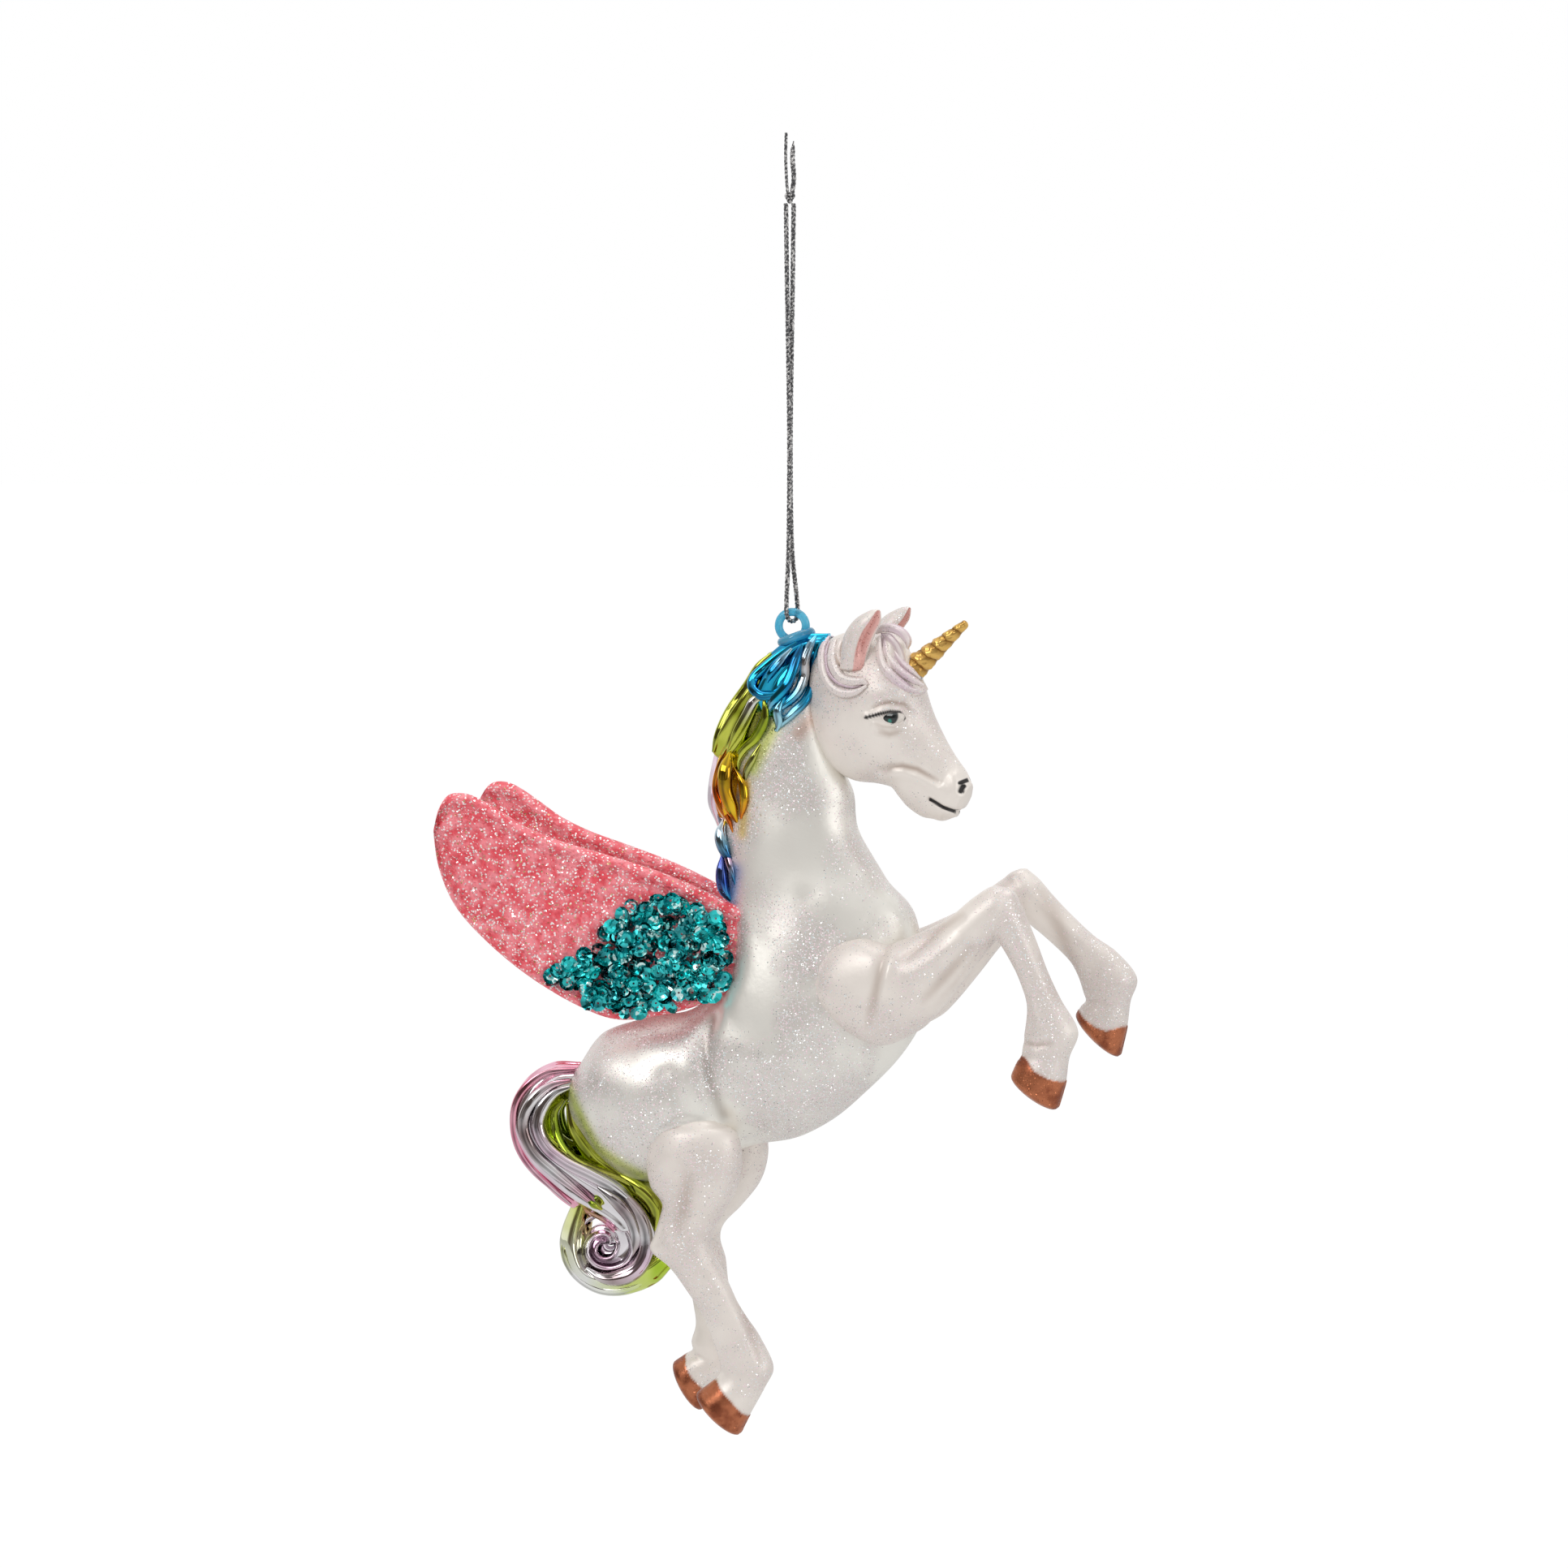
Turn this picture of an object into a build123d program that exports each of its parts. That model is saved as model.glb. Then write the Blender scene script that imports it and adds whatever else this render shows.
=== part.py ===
"""Rearing winged unicorn, a hanging ornament on a knotted metallic cord.

The unicorn faces +X, its right side looks to -Y, and +Z is up. The origin is the top of the cord's
loop, just under the knot, where the ornament is hooked up. The body with its mane and tail is one
hollow blown-glass form. Head, horn, legs and wings are castings glued to it, and a ringed cap is
glued into its mouth. The ring turns on the bight of the cord.
"""

import os
from math import cos, pi, radians, sin, tan

from build123d import *

# Cord, in millimetres from here on
cord_drop = 65.7  # from the hanging point down to the centre of the ring
cord_lean = 0.4  # how far the ring's centre lies ahead of the hanging point
cord_diameter = 0.76
cord_sides = 8
corner_run_share = 0.45  # part of the shorter run that a corner's arc takes up
knot_height = 2.0
knot_core_diameter = 1.7
knot_turn_diameter = 1.4  # along the middle of the cord that winds round the knot
knot_tilt = 35  # degrees
rear_tail_length = 9.1
front_tail_length = 7.8
tail_foot_reach = 0.42  # how far the cut ends stand from the middle, at the knot and at their tips
rear_tail_reach = 0.63
front_tail_reach = 0.57
bight_yaw = 30  # degrees from the unicorn's sideways direction
bight_clearance = 0.15

# Cap with its ring, and the stem that is glued into the mouth of the glass
ring_diameter = 5.6
ring_bar = 1.3
ring_rise = 1.9  # from the middle of the disc to the centre of the ring
cap_tilt = 20  # degrees that the cap leans back
disc_diameter = 6.2
disc_thickness = 1.5
disc_edge_chamfer = 0.45
ring_sides = 10  # round the ring's bar
disc_to_poll = 1.6
stem_diameter = 2.4
stem_length = 6.0

# Blown glass: body and neck, mane, tail
body_length = 57.0
body_width = 20.5
glass_wall = 1.0
mane_width = 10.4
tail_length = 36.0
tail_width = 10.0

# Castings
head_length = 26.0
head_width = 12.2
head_turn = 10  # degrees towards the right
horn_length = 11.2
horn_diameter = 4.3
horn_tip_diameter = 1.3
horn_sink = 1.2
horn_ridges = 6
horn_ridge_tilt = 18  # degrees
foreleg_length = 33.0
foreleg_width = 9.0
left_foreleg_lift = 0.5
hind_leg_length = 49.0
hind_leg_width = 9.0
wing_length = 46.5
wing_thickness = 2.6
wing_edge_chamfer = 0.9
wing_facets = 44  # round the outline
wing_yaw = 12  # degrees that each wing opens outwards
wing_root_overrun = 4.0

# Cup sequins glued on the outer face of each wing
sequin_diameter = 3.0
sequin_foot_diameter = 1.9
sequin_height = 0.7
sequin_lip = 0.1  # height of the upright rim of a cup
sequin_bore = 0.8
sequin_spacing = 0.35
sequin_sides = 6
sequin_bore_sides = 4
sequin_columns = 17
sequin_rows = 13

# Tables of outline points, as shares. Each row of a form is one elliptical section: its front or
# upper point and its back or lower point in the side view as (x, z), measured from the form's seat in
# shares of its length, then half its width and its sideways place in shares of the form's width.
body_shares = [
    ((-0.648, -1.240), (-0.647, -1.280), 0.04, 0),
    ((-0.641, -1.200), (-0.638, -1.318), 0.14, 0),
    ((-0.622, -1.164), (-0.617, -1.347), 0.24, 0),
    ((-0.547, -1.070), (-0.554, -1.423), 0.40, 0),
    ((-0.421, -1.030), (-0.444, -1.485), 0.48, 0),
    ((-0.308, -1.005), (-0.303, -1.450), 0.49, 0),
    ((-0.210, -0.927), (-0.137, -1.378), 0.47, 0),
    ((-0.189, -0.851), (0.034, -1.336), 0.50, 0),
    ((-0.191, -0.784), (0.228, -1.179), 0.50, 0),
    ((-0.198, -0.726), (0.349, -0.996), 0.45, 0),
    ((-0.205, -0.666), (0.326, -0.744), 0.38, 0),
    ((-0.210, -0.565), (0.239, -0.628), 0.32, 0),
    ((-0.207, -0.453), (0.166, -0.503), 0.29, 0),
    ((-0.187, -0.324), (0.148, -0.398), 0.26, 0),
    ((-0.144, -0.208), (0.116, -0.331), 0.24, 0),
    ((-0.098, -0.107), (0.080, -0.230), 0.22, 0),
    ((-0.062, -0.034), (0.052, -0.118), 0.19, 0),
    ((-0.026, -0.002), (0.034, -0.044), 0.11, 0),
]
cavity_rows = slice(2, -2)
trunk_sides = 20  # facets round the body
limb_sides = 12  # facets round a leg, the head or the horn
lock_sides = 8  # facets round a lock of hair or an ear

poll_lock_shares = [
    ((0.072, -0.012), (0.080, 0.038), 0.19, 0),
    ((0.040, -0.045), (-0.008, 0.030), 0.36, 0),
    ((0.020, -0.095), (-0.095, -0.040), 0.46, 0),
    ((0.020, -0.140), (-0.137, -0.114), 0.50, 0),
    ((0.000, -0.181), (-0.114, -0.168), 0.47, 0),
    ((-0.044, -0.213), (-0.081, -0.195), 0.29, -0.10),
]
crest_lock_shares = [
    ((-0.061, -0.015), (-0.093, -0.021), 0.15, 0.10),
    ((-0.062, -0.107), (-0.134, -0.092), 0.37, 0),
    ((-0.080, -0.197), (-0.189, -0.168), 0.44, 0),
    ((-0.114, -0.275), (-0.226, -0.235), 0.42, 0),
    ((-0.166, -0.331), (-0.239, -0.286), 0.29, 0),
]
amber_lock_shares = [
    ((-0.157, -0.263), (-0.200, -0.256), 0.19, -0.06),
    ((-0.148, -0.330), (-0.223, -0.319), 0.35, -0.06),
    ((-0.144, -0.404), (-0.235, -0.395), 0.38, -0.06),
    ((-0.157, -0.459), (-0.221, -0.453), 0.31, -0.06),
    ((-0.178, -0.502), (-0.196, -0.500), 0.12, -0.06),
]
lilac_lock_shares = [
    ((-0.213, -0.304), (-0.247, -0.300), 0.13, 0.21),
    ((-0.206, -0.371), (-0.261, -0.367), 0.23, 0.21),
    ((-0.202, -0.438), (-0.266, -0.434), 0.23, 0.21),
    ((-0.202, -0.490), (-0.247, -0.485), 0.18, 0.21),
    ((-0.211, -0.523), (-0.231, -0.519), 0.09, 0.21),
]
withers_lock_shares = [
    ((-0.189, -0.480), (-0.214, -0.478), 0.12, 0),
    ((-0.180, -0.534), (-0.230, -0.529), 0.23, 0),
    ((-0.180, -0.592), (-0.221, -0.590), 0.23, 0),
    ((-0.175, -0.650), (-0.221, -0.645), 0.21, 0),
    ((-0.175, -0.686), (-0.210, -0.686), 0.15, 0),
    ((-0.180, -0.721), (-0.196, -0.721), 0.08, 0),
]

# The tail is measured from the dock in shares of the tail's length and width
dock_share = (-0.638, -1.202)
tail_fall_shares = [
    ((0.025, 0.067), (0.025, -0.060), 0.26, 0),
    ((-0.090, 0.064), (-0.018, -0.081), 0.34, 0),
    ((-0.198, 0.000), (-0.061, -0.131), 0.42, 0),
    ((-0.267, -0.110), (-0.076, -0.187), 0.46, 0),
    ((-0.274, -0.237), (-0.054, -0.248), 0.48, 0),
    ((-0.216, -0.371), (0.025, -0.301), 0.49, 0),
    ((-0.119, -0.474), (0.144, -0.371), 0.48, 0),
    ((-0.011, -0.562), (0.263, -0.442), 0.46, 0),
    ((0.119, -0.619), (0.335, -0.548), 0.42, 0),
    ((0.175, -0.668), (0.378, -0.616), 0.38, 0),
]
tail_strand_shares = [
    ((0.020, -0.495), (0.090, -0.555), 0.24, 0),
    ((-0.047, -0.654), (0.069, -0.679), 0.32, 0),
    ((-0.058, -0.760), (0.069, -0.753), 0.35, 0),
    ((-0.007, -0.873), (0.090, -0.817), 0.35, 0),
    ((0.105, -0.941), (0.141, -0.838), 0.35, 0),
    ((0.242, -0.944), (0.213, -0.835), 0.34, 0),
    ((0.371, -0.895), (0.299, -0.803), 0.32, 0),
    ((0.447, -0.817), (0.379, -0.760), 0.24, 0),
]
curl_centre_share = (0.155, -0.722)
curl_path_shares = (0.122, 0.025)  # distance from the curl's centre at its start and end
curl_half_depth_shares = (0.056, 0.022)
curl_half_width_shares = (0.42, 0.25)
curl_start = 50  # degrees above straight ahead
curl_sweep = 400  # degrees
curl_steps = 13

# The head is measured from the middle of its joint with the neck
head_seat_share = (0.062, -0.168)
head_shares = [
    ((0.000, 0.392), (-0.032, -0.211), 0.30, 0),
    ((0.158, 0.460), (0.074, -0.353), 0.43, 0),
    ((0.316, 0.455), (0.211, -0.426), 0.48, 0),
    ((0.464, 0.421), (0.358, -0.441), 0.50, 0),
    ((0.580, 0.323), (0.453, -0.460), 0.46, 0),
    ((0.643, 0.166), (0.506, -0.519), 0.39, 0),
    ((0.706, 0.000), (0.558, -0.578), 0.32, 0),
    ((0.780, -0.147), (0.643, -0.632), 0.28, 0),
    ((0.853, -0.264), (0.716, -0.646), 0.25, 0),
    ((0.917, -0.348), (0.780, -0.656), 0.24, 0),
    ((0.954, -0.421), (0.853, -0.632), 0.19, 0),
]
ear_shares = [
    ((0.335, 0.257), (0.187, 0.257), 0.11, 0.38),
    ((0.368, 0.365), (0.210, 0.365), 0.16, 0.39),
    ((0.413, 0.464), (0.234, 0.464), 0.15, 0.40),
    ((0.448, 0.533), (0.301, 0.547), 0.11, 0.42),
    ((0.444, 0.592), (0.386, 0.597), 0.05, 0.43),
]
temple_curl_shares = [
    ((0.169, 0.455), (0.063, 0.440), 0.10, 0.28),
    ((0.160, 0.351), (0.066, 0.351), 0.11, 0.40),
    ((0.177, 0.240), (0.087, 0.221), 0.11, 0.46),
    ((0.241, 0.183), (0.167, 0.104), 0.10, 0.49),
    ((0.318, 0.173), (0.297, 0.095), 0.09, 0.50),
    ((0.379, 0.158), (0.369, 0.114), 0.05, 0.50),
]
forelock_shares = [
    ((0.474, 0.455), (0.358, 0.421), 0.18, 0),
    ((0.531, 0.402), (0.384, 0.344), 0.27, -0.02),
    ((0.557, 0.325), (0.399, 0.266), 0.30, -0.05),
    ((0.585, 0.228), (0.448, 0.179), 0.28, -0.08),
    ((0.654, 0.180), (0.517, 0.121), 0.21, -0.11),
    ((0.694, 0.137), (0.604, 0.083), 0.13, -0.13),
]
horn_base_share = (0.590, 0.250)
horn_rise = 40  # degrees above straight ahead
horn_groove_share = 0.80

# Each foreleg is measured from its shoulder, each hind leg from its hip
shoulder_share = (0.201, -0.40, -0.924)
forearm_shares = [
    ((-0.208, 0.045), (-0.169, -0.098), 0.17, -0.07),
    ((-0.191, 0.115), (-0.061, -0.205), 0.33, -0.03),
    ((-0.118, 0.201), (0.098, -0.266), 0.44, 0),
    ((0.000, 0.239), (0.268, -0.197), 0.50, 0),
    ((0.136, 0.219), (0.353, -0.124), 0.49, -0.02),
    ((0.304, 0.285), (0.470, 0.018), 0.44, -0.04),
    ((0.429, 0.354), (0.559, 0.134), 0.40, -0.07),
    ((0.538, 0.442), (0.648, 0.241), 0.37, -0.09),
    ((0.632, 0.500), (0.714, 0.303), 0.33, -0.10),
    ((0.710, 0.488), (0.757, 0.395), 0.20, -0.10),
]
right_cannon_shares = [
    ((0.702, 0.488), (0.592, 0.449), 0.24, -0.10),
    ((0.757, 0.434), (0.600, 0.357), 0.34, -0.10),
    ((0.804, 0.334), (0.655, 0.256), 0.34, -0.11),
    ((0.846, 0.237), (0.712, 0.163), 0.30, -0.13),
    ((0.899, 0.105), (0.773, 0.047), 0.27, -0.17),
    ((0.964, -0.027), (0.803, -0.062), 0.28, -0.20),
    ((1.045, -0.170), (0.786, -0.224), 0.33, -0.22),
    ((1.005, -0.294), (0.777, -0.294), 0.32, -0.23),
    ((0.989, -0.406), (0.761, -0.317), 0.37, -0.24),
    ((0.954, -0.529), (0.733, -0.379), 0.39, -0.24),
]
left_cannon_shares = [
    ((0.704, 0.518), (0.594, 0.472), 0.24, -0.10),
    ((0.759, 0.472), (0.610, 0.379), 0.34, -0.10),
    ((0.823, 0.399), (0.689, 0.279), 0.33, -0.11),
    ((0.911, 0.307), (0.785, 0.199), 0.30, -0.13),
    ((1.019, 0.207), (0.893, 0.095), 0.27, -0.17),
    ((1.127, 0.131), (0.938, 0.019), 0.28, -0.20),
    ((1.223, 0.011), (0.967, -0.066), 0.33, -0.22),
    ((1.192, -0.104), (0.979, -0.104), 0.32, -0.23),
    ((1.177, -0.216), (0.956, -0.127), 0.37, -0.24),
    ((1.145, -0.359), (0.933, -0.166), 0.39, -0.24),
]
hip_share = (-0.268, -0.371, -1.360)
right_hind_leg_shares = [
    ((0.078, 0.070), (-0.068, 0.062), 0.22, -0.04),
    ((0.140, 0.036), (-0.125, 0.031), 0.40, -0.02),
    ((0.156, -0.052), (-0.154, -0.052), 0.50, 0),
    ((0.138, -0.143), (-0.143, -0.138), 0.48, 0),
    ((0.100, -0.213), (-0.102, -0.200), 0.41, -0.02),
    ((0.062, -0.286), (-0.126, -0.289), 0.34, -0.04),
    ((0.061, -0.338), (-0.140, -0.344), 0.34, -0.06),
    ((0.098, -0.404), (-0.075, -0.399), 0.31, -0.08),
    ((0.134, -0.469), (-0.017, -0.474), 0.28, -0.10),
    ((0.181, -0.547), (0.038, -0.555), 0.27, -0.12),
    ((0.227, -0.620), (0.073, -0.641), 0.29, -0.16),
    ((0.266, -0.706), (0.094, -0.714), 0.32, -0.18),
    ((0.239, -0.771), (0.085, -0.740), 0.32, -0.19),
    ((0.183, -0.873), (0.072, -0.753), 0.37, -0.20),
    ((0.159, -0.922), (0.021, -0.792), 0.39, -0.20),
]
left_hind_leg_shares = [
    ((0.092, 0.073), (-0.051, 0.063), 0.22, -0.04),
    ((0.155, 0.037), (-0.110, 0.031), 0.40, -0.02),
    ((0.175, -0.055), (-0.138, -0.049), 0.50, 0),
    ((0.151, -0.151), (-0.130, -0.140), 0.48, 0),
    ((0.088, -0.234), (-0.095, -0.202), 0.41, -0.02),
    ((0.028, -0.296), (-0.120, -0.290), 0.34, -0.04),
    ((0.013, -0.347), (-0.136, -0.342), 0.34, -0.06),
    ((0.030, -0.410), (-0.119, -0.402), 0.31, -0.08),
    ((0.038, -0.487), (-0.094, -0.482), 0.28, -0.10),
    ((0.050, -0.565), (-0.077, -0.567), 0.27, -0.12),
    ((0.062, -0.642), (-0.071, -0.632), 0.29, -0.16),
    ((0.076, -0.720), (-0.086, -0.686), 0.32, -0.18),
    ((0.050, -0.777), (-0.080, -0.717), 0.32, -0.19),
    ((-0.016, -0.842), (-0.093, -0.722), 0.37, -0.20),
    ((-0.050, -0.909), (-0.143, -0.756), 0.39, -0.20),
]

# Each wing's outline runs along its own plane: outwards from the root, then up
wing_seat_share = (-0.177, -0.220, -0.816)
wing_outline_shares = [
    (0.137, 0.205), (0.273, 0.259), (0.437, 0.310), (0.574, 0.351), (0.683, 0.396), (0.765, 0.446),
    (0.841, 0.491), (0.896, 0.511), (0.948, 0.504), (0.980, 0.458), (0.997, 0.370), (0.978, 0.252),
    (0.920, 0.123), (0.806, -0.002), (0.669, -0.113), (0.513, -0.206), (0.382, -0.252), (0.246, -0.240),
    (0.109, -0.205),
]
wing_root_top_share = 0.101
wing_root_bottom_share = -0.128
patch_outline_shares = [
    (0.645, -0.108), (0.533, -0.061), (0.437, 0.047), (0.300, 0.160), (0.178, 0.186), (0.068, 0.124),
    (0.060, 0.027), (0.060, -0.172), (0.205, -0.200), (0.369, -0.235), (0.505, -0.175),
]
patch_middle_share = (0.31, -0.03)


def section_planes(shares, seat, length, width, side=1):
    """Plane, half depth and half width of each section of a form, from its table of shares."""
    sections = []
    for front, back, half_width, sideways in shares:
        front_point = seat + Vector(front[0] * length, side * sideways * width, front[1] * length)
        back_point = seat + Vector(back[0] * length, side * sideways * width, back[1] * length)
        across = front_point - back_point
        plane = Plane(
            origin=(front_point + back_point) / 2, x_dir=across, z_dir=across.cross(Vector(0, 1, 0))
        )
        sections.append((plane, across.length / 2, half_width * width))
    return sections


def faceted_form(sections, sides):
    """Solid of flat facets between polygons whose corners lie on each section's ellipse."""
    turns = [2 * pi * (side + 0.5) / sides for side in range(sides)]
    rings = [
        [plane.from_local_coords((half_depth * cos(turn), half_width * sin(turn), 0)) for turn in turns]
        for plane, half_depth, half_width in sections
    ]
    facets = [Face(Wire.make_polygon(ring)) for ring in (rings[0], rings[-1])]
    for ring, next_ring in zip(rings, rings[1:]):
        for side in range(sides):
            corner, beside = ring[side - 1], ring[side]
            over, over_beside = next_ring[side - 1], next_ring[side]
            facets.append(Face(Wire.make_polygon((corner, beside, over_beside))))
            facets.append(Face(Wire.make_polygon((corner, over_beside, over))))
    return Solid(Shell(facets))


def between(ends, progress):
    """Value part of the way from the first of two ends to the second."""
    return ends[0] + (ends[1] - ends[0]) * progress


# Places that the pieces share
ring_centre = Vector(cord_lean, 0, -cord_drop)
cap_axis = Vector(-sin(radians(cap_tilt)), 0, cos(radians(cap_tilt)))
disc_centre = ring_centre - cap_axis * ring_rise
body_origin = disc_centre - cap_axis * disc_to_poll
ring_bar_radius = ring_bar / 2
ring_path_radius = ring_diameter / 2 - ring_bar_radius


def on_body(share, sideways=0):
    """Point given in shares of the body, from the body's origin at the poll."""
    return body_origin + Vector(share[0] * body_length, sideways * body_width, share[-1] * body_length)


# Cap: a disc with a rounded edge, a ring to hang it by and a stem for the mouth of the glass
cap_plane = Plane(origin=disc_centre, x_dir=(cap_axis.Z, 0, -cap_axis.X), z_dir=cap_axis)
with BuildPart() as hanger_cap:
    with Locations(cap_plane.location):
        Cylinder(disc_diameter / 2, disc_thickness)
    chamfer(hanger_cap.edges().filter_by(GeomType.CIRCLE), disc_edge_chamfer)
    with Locations(cap_plane.offset(-disc_thickness / 2).location):
        Cylinder(stem_diameter / 2, stem_length, align=(Align.CENTER, Align.CENTER, Align.MAX))
    with BuildSketch(Plane(origin=ring_centre + Vector(ring_path_radius, 0, 0))):
        RegularPolygon(ring_bar_radius, ring_sides)
    revolve(axis=Axis(ring_centre, (0, 1, 0)))
hanger_cap.part.label = "hanger_cap"

# Blown glass body: outer skin, locks of the mane and tail, less the cavity and the seat of the cap
body_sections = section_planes(body_shares, body_origin, body_length, body_width)
outer_skin = faceted_form(body_sections, trunk_sides)
cavity = faceted_form(
    [(plane, depth - glass_wall, width - glass_wall) for plane, depth, width in body_sections[cavity_rows]],
    trunk_sides,
)
mane_locks = [
    faceted_form(section_planes(shares, body_origin, body_length, mane_width), lock_sides)
    for shares in (
        poll_lock_shares,
        crest_lock_shares,
        amber_lock_shares,
        lilac_lock_shares,
        withers_lock_shares,
    )
]

dock = on_body(dock_share)
tail_fall = faceted_form(section_planes(tail_fall_shares, dock, tail_length, tail_width), limb_sides)
tail_strand = faceted_form(section_planes(tail_strand_shares, dock, tail_length, tail_width), lock_sides)


def curl_sections():
    """Sections of the tail's curl, which winds inwards clockwise and grows thinner."""
    centre = dock + Vector(curl_centre_share[0], 0, curl_centre_share[1]) * tail_length
    sections = []
    for step in range(curl_steps):
        progress = step / (curl_steps - 1)
        angle = radians(curl_start - curl_sweep * progress)
        outwards = Vector(cos(angle), 0, sin(angle))
        origin = centre + outwards * between(curl_path_shares, progress) * tail_length
        plane = Plane(origin=origin, x_dir=outwards, z_dir=outwards.cross(Vector(0, 1, 0)))
        half_depth = between(curl_half_depth_shares, progress) * tail_length
        sections.append((plane, half_depth, between(curl_half_width_shares, progress) * tail_width))
    return sections


tail_curl = faceted_form(curl_sections(), lock_sides)

with BuildPart() as glass_outside:
    add(outer_skin)
    add(mane_locks)
    add(tail_fall)
    add(tail_strand)
    add(tail_curl)
    add(hanger_cap.part, mode=Mode.SUBTRACT)

with BuildPart() as glass_body:
    add(glass_outside.part)
    add(cavity, mode=Mode.SUBTRACT)
glass_body.part.label = "glass_body"

# Head: skull and muzzle, two ears, a curl on each temple and the forelock
head_seat = on_body(head_seat_share)
skull = faceted_form(section_planes(head_shares, head_seat, head_length, head_width), limb_sides)
hair_and_ears = [
    faceted_form(section_planes(shares, head_seat, head_length, head_width, side), lock_sides)
    for shares in (ear_shares, temple_curl_shares)
    for side in (-1, 1)
]
forelock = faceted_form(section_planes(forelock_shares, head_seat, head_length, head_width), lock_sides)

horn_angle = radians(horn_rise)
horn_axis = Vector(cos(horn_angle), 0, sin(horn_angle))
horn_base = head_seat + Vector(horn_base_share[0], 0, horn_base_share[1]) * head_length


def horn_sections():
    """Circles of the horn, ridge and groove in turn, all leaning so that the ridges seem to wind."""
    lean = horn_angle - radians(horn_ridge_tilt)
    sections = []
    for step in range(2 * horn_ridges + 1):
        progress = step / (2 * horn_ridges)
        radius = between((horn_diameter, horn_tip_diameter), progress) / 2
        if step % 2:
            radius *= horn_groove_share
        origin = horn_base + horn_axis * between((-horn_sink, horn_length), progress)
        sections.append((Plane(origin=origin, x_dir=(0, 1, 0), z_dir=(cos(lean), 0, sin(lean))), radius))
    return sections


with BuildPart() as straight_horn:
    for plane, radius in horn_sections():
        with BuildSketch(plane):
            RegularPolygon(radius, limb_sides)
    loft(ruled=True)

with BuildPart() as straight_head:
    add(skull)
    add(hair_and_ears)
    add(forelock)
    add(straight_horn.part, mode=Mode.SUBTRACT)

turn_axis = Axis(head_seat, (0, 0, 1))
with BuildPart() as head:
    add(straight_head.part.rotate(turn_axis, -head_turn))
    add(glass_outside.part, mode=Mode.SUBTRACT)
    add(hanger_cap.part, mode=Mode.SUBTRACT)
head.part.label = "head"

with BuildPart() as horn:
    add(straight_horn.part.rotate(turn_axis, -head_turn))
horn.part.label = "horn"


def limb_form(shares, seat, length, width, side):
    """One length of a leg, on the right with side 1 and on the left with side -1."""
    return faceted_form(section_planes(shares, seat, length, width, side), limb_sides)


# Legs: each foreleg is a forearm and a cannon with its hoof, each hind leg one form; all sit on the glass
right_shoulder = on_body(shoulder_share, shoulder_share[1])
left_shoulder = on_body(shoulder_share, -shoulder_share[1]) + Vector(0, 0, left_foreleg_lift)
right_hip = on_body(hip_share, hip_share[1])
left_hip = on_body(hip_share, -hip_share[1])

right_forearm = limb_form(forearm_shares, right_shoulder, foreleg_length, foreleg_width, 1)
right_cannon = limb_form(right_cannon_shares, right_shoulder, foreleg_length, foreleg_width, 1)
with BuildPart() as right_foreleg:
    add(right_forearm)
    add(right_cannon)
    add(glass_outside.part, mode=Mode.SUBTRACT)
right_foreleg.part.label = "right_foreleg"

left_forearm = limb_form(forearm_shares, left_shoulder, foreleg_length, foreleg_width, -1)
left_cannon = limb_form(left_cannon_shares, left_shoulder, foreleg_length, foreleg_width, -1)
with BuildPart() as left_foreleg:
    add(left_forearm)
    add(left_cannon)
    add(glass_outside.part, mode=Mode.SUBTRACT)
left_foreleg.part.label = "left_foreleg"

right_hind_form = limb_form(right_hind_leg_shares, right_hip, hind_leg_length, hind_leg_width, 1)
with BuildPart() as right_hind_leg:
    add(right_hind_form)
    add(glass_outside.part, mode=Mode.SUBTRACT)
right_hind_leg.part.label = "right_hind_leg"

left_hind_form = limb_form(left_hind_leg_shares, left_hip, hind_leg_length, hind_leg_width, -1)
with BuildPart() as left_hind_leg:
    add(left_hind_form)
    add(glass_outside.part, mode=Mode.SUBTRACT)
left_hind_leg.part.label = "left_hind_leg"

# Wings: flat castings with rounded edges, drawn for the left side and mirrored to the right
wing_seat = on_body(wing_seat_share, -wing_seat_share[1])
wing_angle = radians(wing_yaw)
wing_plane = Plane(
    origin=wing_seat,
    x_dir=(-cos(wing_angle), sin(wing_angle), 0),
    z_dir=(sin(wing_angle), cos(wing_angle), 0),
)
wing_outline = [(along * wing_length, up * wing_length) for along, up in wing_outline_shares]
root_top = (-wing_root_overrun, wing_root_top_share * wing_length)
root_bottom = (-wing_root_overrun, wing_root_bottom_share * wing_length)

with BuildLine() as wing_curve:
    Spline(root_top, *wing_outline, root_bottom)
wing_corners = [wing_curve.wire() @ (corner / wing_facets) for corner in range(wing_facets + 1)]

with BuildPart() as wing_form:
    with BuildSketch(wing_plane):
        with BuildLine():
            Polyline(*wing_corners, close=True)
        make_face()
    extrude(amount=wing_thickness / 2, both=True)
    flat_faces = wing_form.faces().sort_by(Axis(wing_seat, wing_plane.z_dir))
    chamfer(flat_faces[0].edges() + flat_faces[-1].edges(), wing_edge_chamfer)

with BuildPart() as left_wing:
    add(wing_form.part)
    add(glass_outside.part, mode=Mode.SUBTRACT)
left_wing.part.label = "left_wing"

with BuildPart() as right_wing:
    mirror(wing_form.part, about=Plane.XZ)
    add(glass_outside.part, mode=Mode.SUBTRACT)
right_wing.part.label = "right_wing"

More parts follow.
